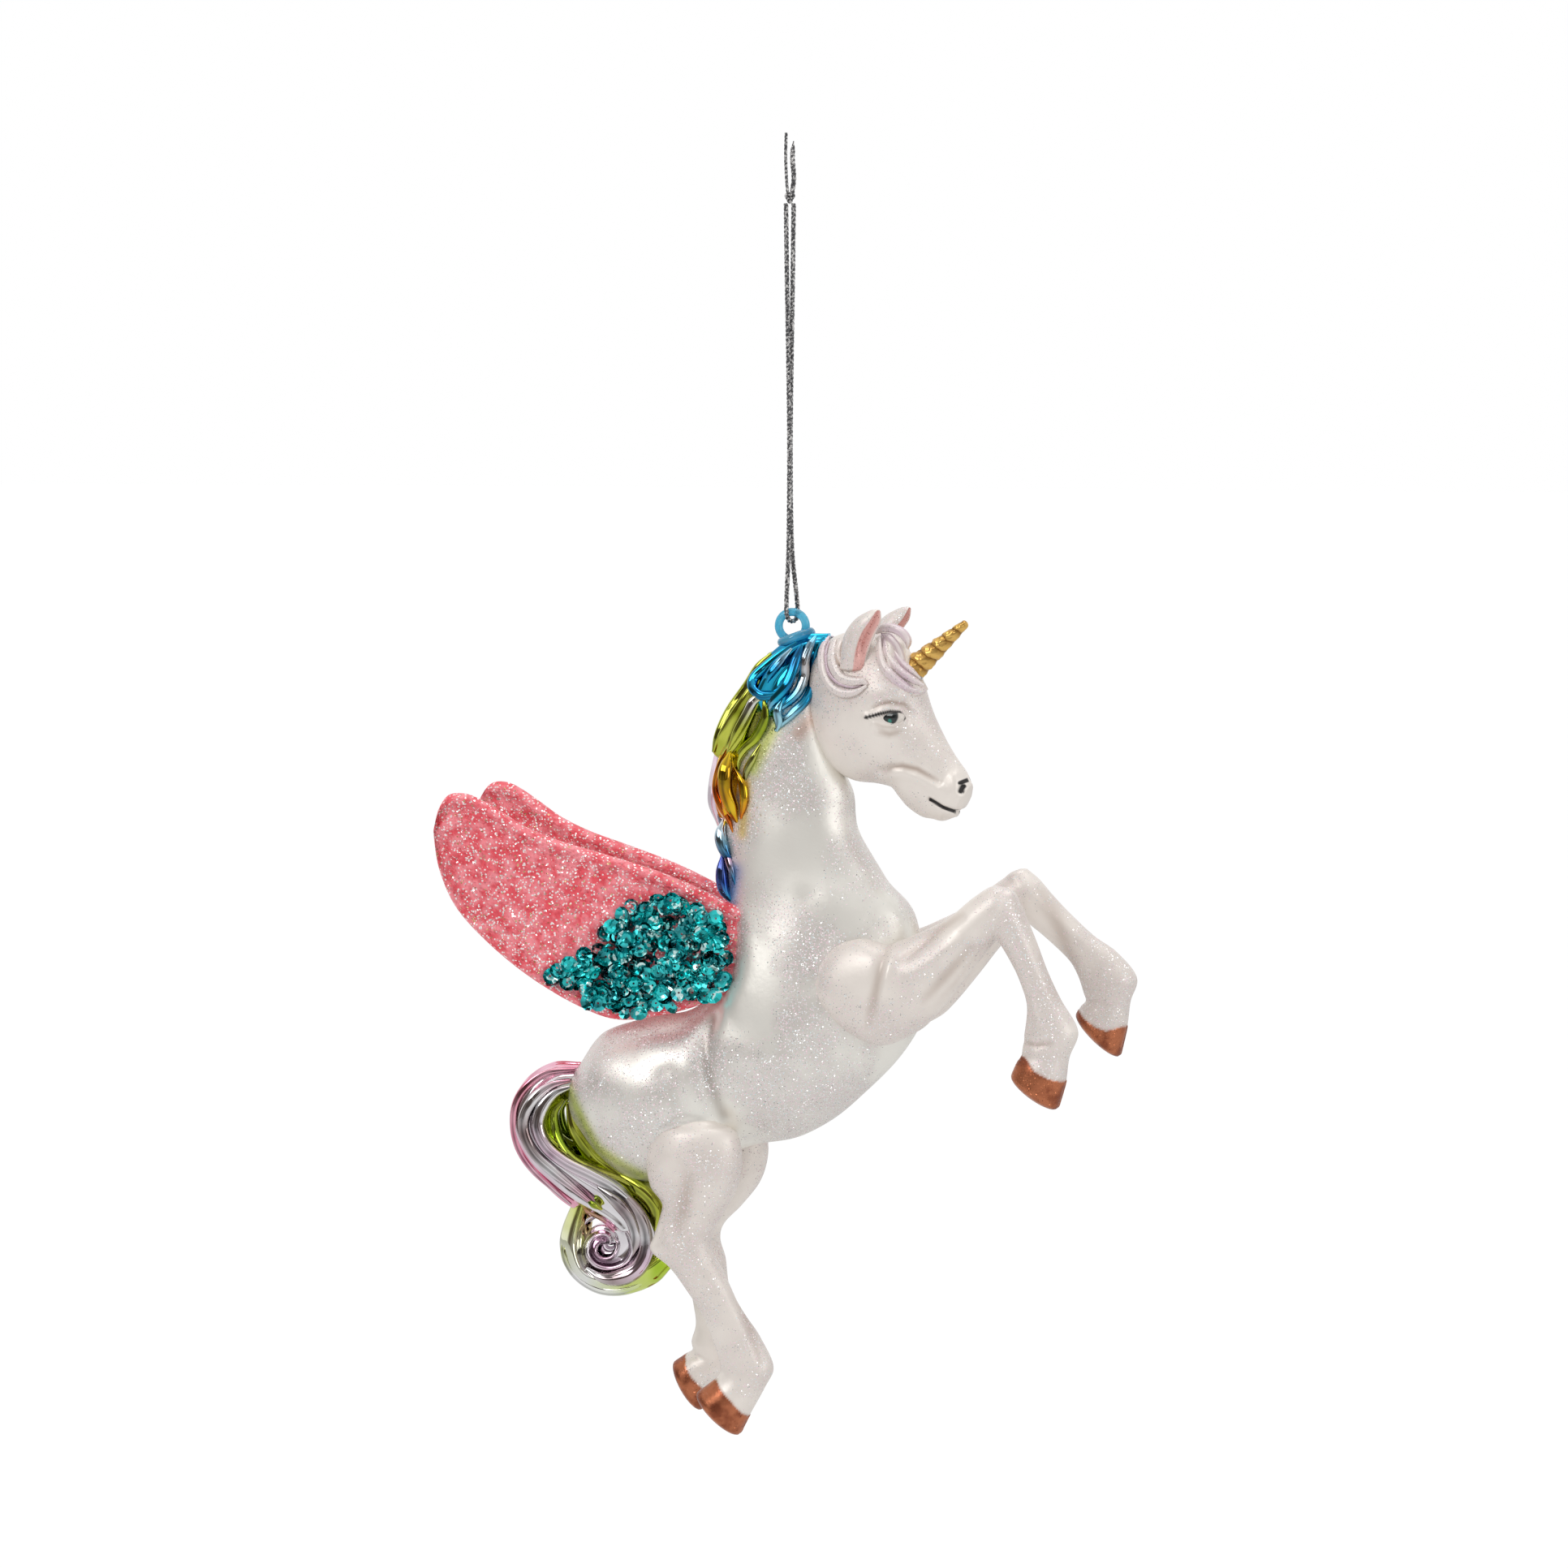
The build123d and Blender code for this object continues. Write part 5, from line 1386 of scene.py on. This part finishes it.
for side, word in ((-1, "right"), (1, "left")):
    shell = closed_grid(eye_grid((13.4, side * 4.5, -0.85), (2.2, 1.15, 1.3)))
    flat = side_view(shell[0])
    iris = 1 - ramp(np.linalg.norm((flat - (13.45, -0.65)) / (1.45, 1.3), axis=1, keepdims=True), 0.88, 1.02)
    gleam = 1 - ramp(np.linalg.norm(flat - (13.5, -1.35), axis=1, keepdims=True), 0.18, 0.42)
    colour = (1 - iris) * eye_white + iris * ((1 - gleam) * pupil + gleam * green_gleam)
    new_piece(f"{word}_eye", [head_turned(shell)], eye_gloss, attributes={"tint": colour})

# %% [markdown]
# ## The horn
#
# A cone that looks wrapped in cloth: its radius is multiplied by 0.83 + 0.16 x a ridge, which rises fast and
# falls slowly once in every wrap of a spiral, and small crossing waves crumple it. The gold leaf paint is
# darkened in the grooves as painted shade, and a grey band shows where the horn sits in its socket.

# %% Horn
horn_rise = np.radians(40)
horn_axis = np.array([np.cos(horn_rise), 0, np.sin(horn_rise)])
horn_across = np.array([-horn_axis[2], 0, horn_axis[0]])
horn_base = np.array([0.590, 0, 0.250]) * head_length
foot_radius, tip_radius, sunk_length, horn_length, wraps = 2.2, 0.66, 1.2, 12.2, 6.0
along, turn = np.linspace(0, 1, 240)[:, None], turns(96)[None, :]
uneven = 0.35 * np.sin(2 * turn + 9 * along) + 0.25 * np.sin(3 * turn - 17 * along)
wrap = (wraps * along + (turn + uneven) / (2 * np.pi)) % 1
wrapped = ramp(along, 0.10, 0.16)
ridge = np.sin(np.pi * wrap ** 0.65) ** 0.8 * wrapped + 0.7 * (1 - wrapped)
crumple = (0.05 * np.abs(np.sin(4 * turn + 26 * along))
           + 0.035 * np.sin(7 * turn - 41 * along) * np.sin(37 * along + 2 * turn))
horn_radius = (foot_radius + (tip_radius - foot_radius) * along ** 1.05) * (0.83 + 0.16 * ridge + crumple)
horn_middle = horn_base + horn_axis * (horn_length * along[..., None] - sunk_length)
horn_grid = horn_middle + horn_radius[..., None] * (
    horn_across * np.cos(turn)[..., None] + sideways * np.sin(turn)[..., None])
socket_band = np.broadcast_to(1 - ramp(along, 0.125, 0.145), ridge.shape)

gilding, tree, shader = new_material("gold leaf paint", Metallic=0.9, Roughness=0.30)
# Painted shade: the gold turns dark brown where the ridge sinks into a groove.
golden = mixed_colour(tree, stored(tree, "ridge"), (0.22, 0.09, 0.015, 1), (0.80, 0.50, 0.14, 1))
brushed = noise(tree, 900.0, 3.0)
give(tree, shader, Base_Color=mixed_colour(tree, stored(tree, "socket"), golden, (0.50, 0.50, 0.50, 1)),
     Roughness=arithmetic(tree, "MULTIPLY_ADD", brushed, 0.25, 0.18),
     Normal=rippled(tree, brushed, 0.00012, 0.6))
horn = new_piece("horn_casting", [head_turned(closed_grid(rounded_ends(horn_grid, 0.8)))], gilding,
                 attributes={"ridge": with_ends(np.clip(ridge, 0, 1)), "socket": with_ends(socket_band)})
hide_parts("horn")

# %% [markdown]
# ## The legs
#
# Each leg is one casting. A foreleg is built from two overlapping forms, forearm and cannon, and a hind leg
# is one form. The tables give each of them as shares of the leg's length and width, from its seat on the
# body, and the folds are muscle lines in the side view with a width and a height.

# %% Leg tables
forearm_table = [
    ((-0.208, 0.045), (-0.169, -0.098), 0.17, -0.07), ((-0.191, 0.115), (-0.061, -0.205), 0.33, -0.03),
    ((-0.118, 0.201), (0.098, -0.266), 0.44, 0), ((0.000, 0.239), (0.268, -0.197), 0.50, 0),
    ((0.136, 0.219), (0.353, -0.124), 0.49, -0.02), ((0.304, 0.285), (0.470, 0.018), 0.44, -0.04),
    ((0.429, 0.354), (0.559, 0.134), 0.40, -0.07), ((0.538, 0.442), (0.648, 0.241), 0.37, -0.09),
    ((0.632, 0.500), (0.714, 0.303), 0.33, -0.10), ((0.710, 0.488), (0.757, 0.395), 0.20, -0.10),
]
right_cannon_table = [
    ((0.702, 0.488), (0.592, 0.449), 0.24, -0.10), ((0.757, 0.434), (0.600, 0.357), 0.34, -0.10),
    ((0.804, 0.334), (0.655, 0.256), 0.34, -0.11), ((0.846, 0.237), (0.712, 0.163), 0.30, -0.13),
    ((0.899, 0.105), (0.773, 0.047), 0.27, -0.17), ((0.964, -0.027), (0.803, -0.062), 0.28, -0.20),
    ((1.045, -0.170), (0.786, -0.224), 0.33, -0.22), ((1.005, -0.294), (0.777, -0.294), 0.32, -0.23),
    ((0.989, -0.406), (0.761, -0.317), 0.37, -0.24), ((0.954, -0.529), (0.733, -0.379), 0.39, -0.24),
]
left_cannon_table = [
    ((0.704, 0.518), (0.594, 0.472), 0.24, -0.10), ((0.759, 0.472), (0.610, 0.379), 0.34, -0.10),
    ((0.823, 0.399), (0.689, 0.279), 0.33, -0.11), ((0.911, 0.307), (0.785, 0.199), 0.30, -0.13),
    ((1.019, 0.207), (0.893, 0.095), 0.27, -0.17), ((1.127, 0.131), (0.938, 0.019), 0.28, -0.20),
    ((1.223, 0.011), (0.967, -0.066), 0.33, -0.22), ((1.192, -0.104), (0.979, -0.104), 0.32, -0.23),
    ((1.177, -0.216), (0.956, -0.127), 0.37, -0.24), ((1.145, -0.359), (0.933, -0.166), 0.39, -0.24),
]
right_hind_table = [
    ((0.078, 0.070), (-0.068, 0.062), 0.22, -0.04), ((0.140, 0.036), (-0.125, 0.031), 0.40, -0.02),
    ((0.156, -0.052), (-0.154, -0.052), 0.50, 0), ((0.138, -0.143), (-0.143, -0.138), 0.48, 0),
    ((0.100, -0.213), (-0.102, -0.200), 0.41, -0.02), ((0.062, -0.286), (-0.126, -0.289), 0.34, -0.04),
    ((0.061, -0.338), (-0.140, -0.344), 0.34, -0.06), ((0.098, -0.404), (-0.075, -0.399), 0.31, -0.08),
    ((0.134, -0.469), (-0.017, -0.474), 0.28, -0.10), ((0.181, -0.547), (0.038, -0.555), 0.27, -0.12),
    ((0.227, -0.620), (0.073, -0.641), 0.29, -0.16), ((0.266, -0.706), (0.094, -0.714), 0.32, -0.18),
    ((0.239, -0.771), (0.085, -0.740), 0.32, -0.19), ((0.183, -0.873), (0.072, -0.753), 0.37, -0.20),
    ((0.159, -0.922), (0.021, -0.792), 0.39, -0.20),
]
left_hind_table = [
    ((0.092, 0.073), (-0.051, 0.063), 0.22, -0.04), ((0.155, 0.037), (-0.110, 0.031), 0.40, -0.02),
    ((0.175, -0.055), (-0.138, -0.049), 0.50, 0), ((0.151, -0.151), (-0.130, -0.140), 0.48, 0),
    ((0.088, -0.234), (-0.095, -0.202), 0.41, -0.02), ((0.028, -0.296), (-0.120, -0.290), 0.34, -0.04),
    ((0.013, -0.347), (-0.136, -0.342), 0.34, -0.06), ((0.030, -0.410), (-0.119, -0.402), 0.31, -0.08),
    ((0.038, -0.487), (-0.094, -0.482), 0.28, -0.10), ((0.050, -0.565), (-0.077, -0.567), 0.27, -0.12),
    ((0.062, -0.642), (-0.071, -0.632), 0.29, -0.16), ((0.076, -0.720), (-0.086, -0.686), 0.32, -0.18),
    ((0.050, -0.777), (-0.080, -0.717), 0.32, -0.19), ((-0.016, -0.842), (-0.093, -0.722), 0.37, -0.20),
    ((-0.050, -0.909), (-0.143, -0.756), 0.39, -0.20),
]
foreleg_length, hind_leg_length = 33.0, 49.0
forearm_folds = [
    ([(17.6, -113.6), (17.0, -117.0), (16.2, -121.0), (15.2, -125.8), (14.6, -128.0)], 0.85, -0.5),
    ([(18.9, -114.5), (18.2, -118.0), (17.4, -122.0), (16.6, -126.0)], 0.8, 0.35),
    ([(19.6, -117.3), (23.3, -114.2), (26.1, -111.8), (30.0, -109.2)], 0.8, -0.42),
    ([(21.0, -120.0), (25.5, -116.5), (29.5, -112.8)], 1.5, 0.40),
    ([(23.0, -123.6), (26.7, -119.5), (28.8, -117.2), (31.8, -113.8)], 0.85, -0.45),
    ([(38.5, -118.0), (41.0, -124.0), (43.0, -129.0)], 0.7, 0.25),
    ([(38.6, -128.8), (41.5, -129.3), (44.5, -128.7)], 0.6, -0.28),
    # The last line, only 0.05 mm deep, runs down the cannon's front; its darkening there is painted shade.
    ([(37.8, -106.0), (41.0, -111.5), (43.3, -117.5), (44.8, -123.5)], 1.5, -0.05),
]
hind_folds = [
    ([(-9.5, -162.5), (-6.4, -170.7), (-3.7, -176.4), (-2.2, -181.0)], 0.6, -0.36),
    ([(-8.0, -162.5), (-5.0, -170.2), (-2.2, -176.6)], 0.7, 0.25),
    ([(-13.5, -150.0), (-14.5, -156.0), (-16.0, -160.5)], 1.6, -0.35),
    ([(-18.5, -156.5), (-17.6, -161.0), (-14.5, -165.0)], 1.2, 0.25),
]

# %% [markdown]
# ## Casting a leg
#
# A voxel remesh melts overlapping forms into one skin. The folds are pressed into it on its outer side, the
# hoof stands out a little and has a cleft in front and below, and copper paint covers it up to the coronet,
# a curved line in the side view. Painted shade darkens the sunken folds and a thin band above the coronet.

# %% Leg castings
def leg_piece(node, tables, seat, length, side, folds, coronet):
    """Leg casting: melted forms, muscle folds, cloven hoof and copper paint below the coronet line."""
    shells = [closed_grid(oval_skin(table, seat, length, leg_width, 120, 72, -side)) for table in tables]
    coronet_x, coronet_z = np.array(coronet).T
    hoof_middle = seat[1] - side * tables[-1][-1][-1] * leg_width

    def below_coronet(points):
        """Millimetres that a point lies under the coronet's line; far from the hoof it counts as above."""
        depth = np.interp(points[:, 0], coronet_x, coronet_z) - points[:, 2]
        away = np.hypot(points[:, 0] - coronet_x.mean(), points[:, 2] - coronet_z.mean())
        return np.where(away < 8.5, depth, -9.0)

    def relief(points):
        """Folds, the hoof's edge and its cleft."""
        height = sum(groove(points, stops, width, depth, side, 4.0, faded=True)
                     for stops, width, depth in folds)
        cleft = bell(points[:, 1] - hoof_middle, 0.35)
        return height + ramp(below_coronet(points), -0.12, 0.12) * (0.14 - 0.55 * cleft)

    leg = pressed(melted(shells, 0.27, 3), relief)
    depth = below_coronet(leg[0])
    copper = ramp(depth, -0.12, 0.12)
    # Painted shade: darker in the sunken folds and in a thin band just above the coronet's step.
    fold = sum(faded_line(leg[0], stops, 0.8 * width) * 0.42 for stops, width, height in folds if height < 0)
    piece = new_piece(f"{node}_casting", [leg], pearl_paint, attributes={
        "tint": np.broadcast_to((0.50, 0.165, 0.075), leg[0].shape), "cover": copper, "gilt": copper,
        "fold": np.clip(fold + 0.35 * bell(depth, 0.3) * (1 - copper), 0, 0.8)})
    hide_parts(node)


shoulder, hip = on_body(0.201, -0.924), on_body(-0.268, -1.360)
off_shoulder, off_hip = sideways * 0.40 * body_width, sideways * 0.371 * body_width
left_higher = [0, 0, 0.5]  # the left foreleg is seated a little above the right one
legs = [
    ("right_foreleg", [forearm_table, right_cannon_table], shoulder - off_shoulder, foreleg_length, -1,
     forearm_folds,
     [(38.0, -131.0), (39.7, -131.3), (41.4, -133.3), (43.4, -134.4), (45.1, -134.9), (46.6, -134.9)]),
    ("left_foreleg", [forearm_table, left_cannon_table], shoulder + off_shoulder + left_higher,
     foreleg_length, 1, forearm_folds,
     [(43.0, -125.0), (43.9, -125.6), (45.4, -127.1), (47.4, -128.4), (49.1, -129.0), (51.2, -128.4)]),
    ("right_hind_leg", [right_hind_table], hip - off_hip, hind_leg_length, -1, hind_folds,
     [(-11.4, -182.9), (-9.4, -183.2), (-8.5, -184.3), (-6.8, -186.1), (-5.1, -188.2), (-4.1, -189.0)]),
    ("left_hind_leg", [left_hind_table], hip + off_hip, hind_leg_length, 1, [],
     [(-21.3, -182.6), (-18.7, -182.2), (-18.2, -184.0), (-17.3, -185.5), (-15.6, -187.4), (-15.1, -188.2)]),
]
for node, *form in legs:
    leg_piece(node, *form)

# %% [markdown]
# ## The wings
#
# A wing is a flat casting with a rounded edge and a raised rim along its top. Its grid runs from root to
# tip, and across from the lower to the upper outline: point = lower x (1 - share) + upper x share. Each
# face stands off the middle plane by half the thickness, falling to nothing at the edge like a half oval.
# The outlines are shares of the wing's length, outwards and up from its seat.

# %% Form of the wings
wing_length, wing_thickness, wing_angle = 46.5, 2.6, np.radians(12)
upper_outline = [
    (-0.086, 0.101), (0.137, 0.205), (0.273, 0.259), (0.437, 0.310), (0.574, 0.351), (0.683, 0.396),
    (0.765, 0.446), (0.841, 0.491), (0.896, 0.511), (0.948, 0.504), (0.980, 0.458), (0.995, 0.400),
]
lower_outline = [
    (-0.086, -0.128), (0.109, -0.205), (0.246, -0.240), (0.382, -0.252), (0.513, -0.206), (0.669, -0.113),
    (0.806, -0.002), (0.920, 0.123), (0.978, 0.252), (0.997, 0.370), (0.995, 0.400),
]
patch_outline = [
    (0.655, -0.108), (0.533, -0.055), (0.437, 0.050), (0.300, 0.160), (0.170, 0.170), (0.045, 0.095),
    (0.006, 0.040), (0.020, -0.150), (0.205, -0.212), (0.369, -0.240), (0.505, -0.180),
]
wing_seat = on_body(-0.177, -0.816)


def wing_normal(side):
    """Direction out of a wing's outer face."""
    return np.array([np.sin(wing_angle), side * np.cos(wing_angle), 0])


def on_wing(along, up, off, side):
    """Place on a wing: seat + along x outward direction + up x height + off x the wing's normal."""
    outward = np.array([-np.cos(wing_angle), side * np.sin(wing_angle), 0])
    seat = wing_seat + side * 0.22 * body_width * sideways
    along, up, off = along[..., None], up[..., None], off[..., None]
    return seat + along * outward + up * np.array([0, 0, 1]) + off * wing_normal(side)


def wing_shell(side, rows=230, across=150):
    """Both faces of a wing as one closed grid: out over the outer face and back over the inner one."""
    upper, lower = (evenly_along(smooth_rows(stops, 400), rows) * wing_length
                    for stops in (upper_outline, lower_outline))
    angle = turns(2 * across)
    share = (1 - np.cos(angle)) / 2
    flat = lower[:, None] * (1 - share)[None, :, None] + upper[:, None] * share[None, :, None]
    chord = np.linalg.norm(upper - lower, axis=1)[:, None]
    from_edge = np.minimum(share, 1 - share)[None, :] * chord
    from_top = (1 - share)[None, :] * chord
    from_tip = np.linspace(1, 0, rows)[:, None]
    oval = np.sqrt(1 - (1 - np.clip(from_edge / 1.1, 0, 1)) ** 2)
    half = wing_thickness / 2 * oval * ramp(from_tip, 0.0, 0.02)
    rim = 0.42 * bell(from_top - 0.9, 0.9) - 0.38 * bell(from_top - 3.0, 0.8)
    x, z = flat[..., 0], flat[..., 1]
    wave = 0.20 * np.sin(x * 0.8 + z * 0.5) * np.sin(z * 0.9 - x * 0.3)
    grains = np.random.default_rng(5).normal(0, 0.11, x.shape)
    outer_or_inner = np.sign(np.sin(angle) + 1e-9)[None, :]
    face = (half + (rim + wave + grains) * np.clip(from_edge / 1.5, 0, 1)) * outer_or_inner
    return closed_grid(on_wing(x, z, face, side))


# %% [markdown]
# ## Coarse glitter on the wings
#
# Coral paint is covered with coarse glitter. Its Voronoi cells are pale, silver or gold by their shade, the
# last two with a mirror's shine, and patchy noise makes the coral lighter and darker and a little bumpy.

# %% Wings
wing_glitter, tree, shader = new_material("coarse coral glitter", Roughness=0.45)
coarse = glitter_on(tree, 2500.0, 0.85, 1.1)


def flakes_where(operation, shade):
    """Mask of the flakes whose shade is below or above a value."""
    return arithmetic(tree, "MULTIPLY", coarse["Flake"], arithmetic(tree, operation, coarse["Shade"], shade))


patchy = noise(tree, 520.0, 4.0)
coral = mixed_colour(tree, soft_step(tree, patchy, 0.35, 0.65), (0.86, 0.085, 0.115, 1), (1.0, 0.30, 0.34, 1))
gold_cell = flakes_where("GREATER_THAN", 0.92)
mirrors = arithmetic(tree, "ADD", gold_cell, flakes_where("LESS_THAN", 0.14))
coral = mixed_colour(tree, flakes_where("LESS_THAN", 0.50), coral, (1.0, 0.90, 0.88, 1))
give(tree, shader, Base_Color=mixed_colour(tree, gold_cell, coral, (0.70, 0.55, 0.30, 1)),
     Metallic=arithmetic(tree, "MULTIPLY", mirrors, 0.8),
     Roughness=arithmetic(tree, "MULTIPLY_ADD", mirrors, -0.30, 0.50),
     Normal=rippled(tree, patchy, 0.0004, 0.6, Normal=coarse["Normal"]))
for side, word in ((-1, "right"), (1, "left")):
    wing = new_piece(f"{word}_wing_casting", [wing_shell(side)], wing_glitter)
    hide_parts(f"{word}_wing")

# %% [markdown]
# ## Foil of the sequins
#
# Sequins are punched from thin metallised foil, teal and glossy. Its colour shifts with a soft noise, and a
# share of small cells is pale: they stand for the hard white glints that a real sequin throws.

# %% Foil material
foil, tree, shader = new_material("teal foil", Metallic=1.0, Roughness=0.12, Coat_Weight=1.0,
                                  Coat_Roughness=0.04)
sheen = noise(tree, 500.0, 1.0)
place = add_node(tree, "ShaderNodeTexCoord").outputs["Object"]
cells = add_node(tree, "ShaderNodeTexVoronoi", {"Vector": place, "Scale": 1150.0}).outputs["Color"]
chance = add_node(tree, "ShaderNodeSeparateXYZ", {0: cells}).outputs["X"]
glinting = arithmetic(tree, "MULTIPLY", soft_step(tree, chance, 0.78, 0.82), 0.85)
teal = mixed_colour(tree, soft_step(tree, sheen, 0.35, 0.65), (0.0, 0.26, 0.29, 1), (0.01, 0.66, 0.66, 1))
give(tree, shader, Base_Color=mixed_colour(tree, glinting, teal, (0.72, 0.96, 0.94, 1)),
     Roughness=arithmetic(tree, "MULTIPLY_ADD", sheen, 0.2, 0.05))

# %% [markdown]
# ## The sequins
#
# Cup sequins, almost 3 mm across with a small hole, are strewn over the lower part of each wing's outer
# face and lie over each other at all angles. One cup is a short profile turned round its axis in ten facets;
# its copies sit on a staggered grid inside the patch, each moved and tilted by a seeded random amount.

# %% Sequins
cup_profile = np.array([(0.20, 0.0), (0.84, 0.03), (1.46, 0.66), (0.82, 0.14), (0.20, 0.10)])
cup_facets = 10
cup_pitch, cup_shift, cup_tilt, cup_pile = 1.72, 0.45, 0.34, 1.0
row_height = 0.866  # of a staggered grid whose columns are 1 apart


def inside_outline(points, outline):
    """True where a point lies inside a closed outline: it crosses an odd number of its edges going right."""
    start = np.array(outline)
    end = np.roll(start, -1, 0)
    spans = (start[None, :, 1] > points[:, None, 1]) != (end[None, :, 1] > points[:, None, 1])
    rise = np.where(end[:, 1] == start[:, 1], 1e-9, end[:, 1] - start[:, 1])
    crossing = start[:, 0] + (points[:, None, 1] - start[:, 1]) * (end[:, 0] - start[:, 0]) / rise
    return (spans & (points[:, None, 0] < crossing)).sum(1) % 2 == 1


def sequin_patch(side):
    """All cups of one wing as one array: profile point x turn x cup, each cup with its own tilted axes."""
    random = np.random.default_rng(11 if side < 0 else 12)
    column, row = np.meshgrid(np.arange(-4, 26), np.arange(-12, 12), indexing="ij")
    spots = np.stack([column + 0.5 * (row % 2), row * row_height], -1).reshape(-1, 2) * cup_pitch
    spots = spots + random.uniform(-cup_shift, cup_shift, spots.shape)
    spots = spots[inside_outline(spots / wing_length, patch_outline)]
    count = len(spots)
    stand_off = wing_thickness / 2 + random.uniform(0.0, cup_pile, count)
    middle = on_wing(spots[:, 0], spots[:, 1], stand_off, side)
    normal = unit(wing_normal(side) + random.normal(0, cup_tilt, (count, 3)))
    across = unit(np.cross(normal, [0, 0, 1.0]))
    beside = np.cross(normal, across)
    size = random.uniform(0.86, 1.0, count)[:, None, None, None]
    turn = turns(cup_facets)[None, None, :, None]
    distance, height = cup_profile[None, :, None, 0:1], cup_profile[None, :, None, 1:2]
    normal, across, beside, middle = (vectors[:, None, None] for vectors in (normal, across, beside, middle))
    cups = middle + size * (distance * (across * np.cos(turn) + beside * np.sin(turn)) + height * normal)
    first_points = np.arange(count)[:, None, None] * len(cup_profile) * cup_facets
    quads = ring_faces(len(cup_profile), cup_facets)[None] + first_points
    print("sequins on one wing:", count)
    return cups.reshape(-1, 3), quads.reshape(-1, 4), no_triangles


for side, word in ((-1, "right"), (1, "left")):
    sequins = new_piece(f"{word}_sequins", [sequin_patch(side)], foil, faceted=True)
    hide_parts(f"{word}_wing_sequins")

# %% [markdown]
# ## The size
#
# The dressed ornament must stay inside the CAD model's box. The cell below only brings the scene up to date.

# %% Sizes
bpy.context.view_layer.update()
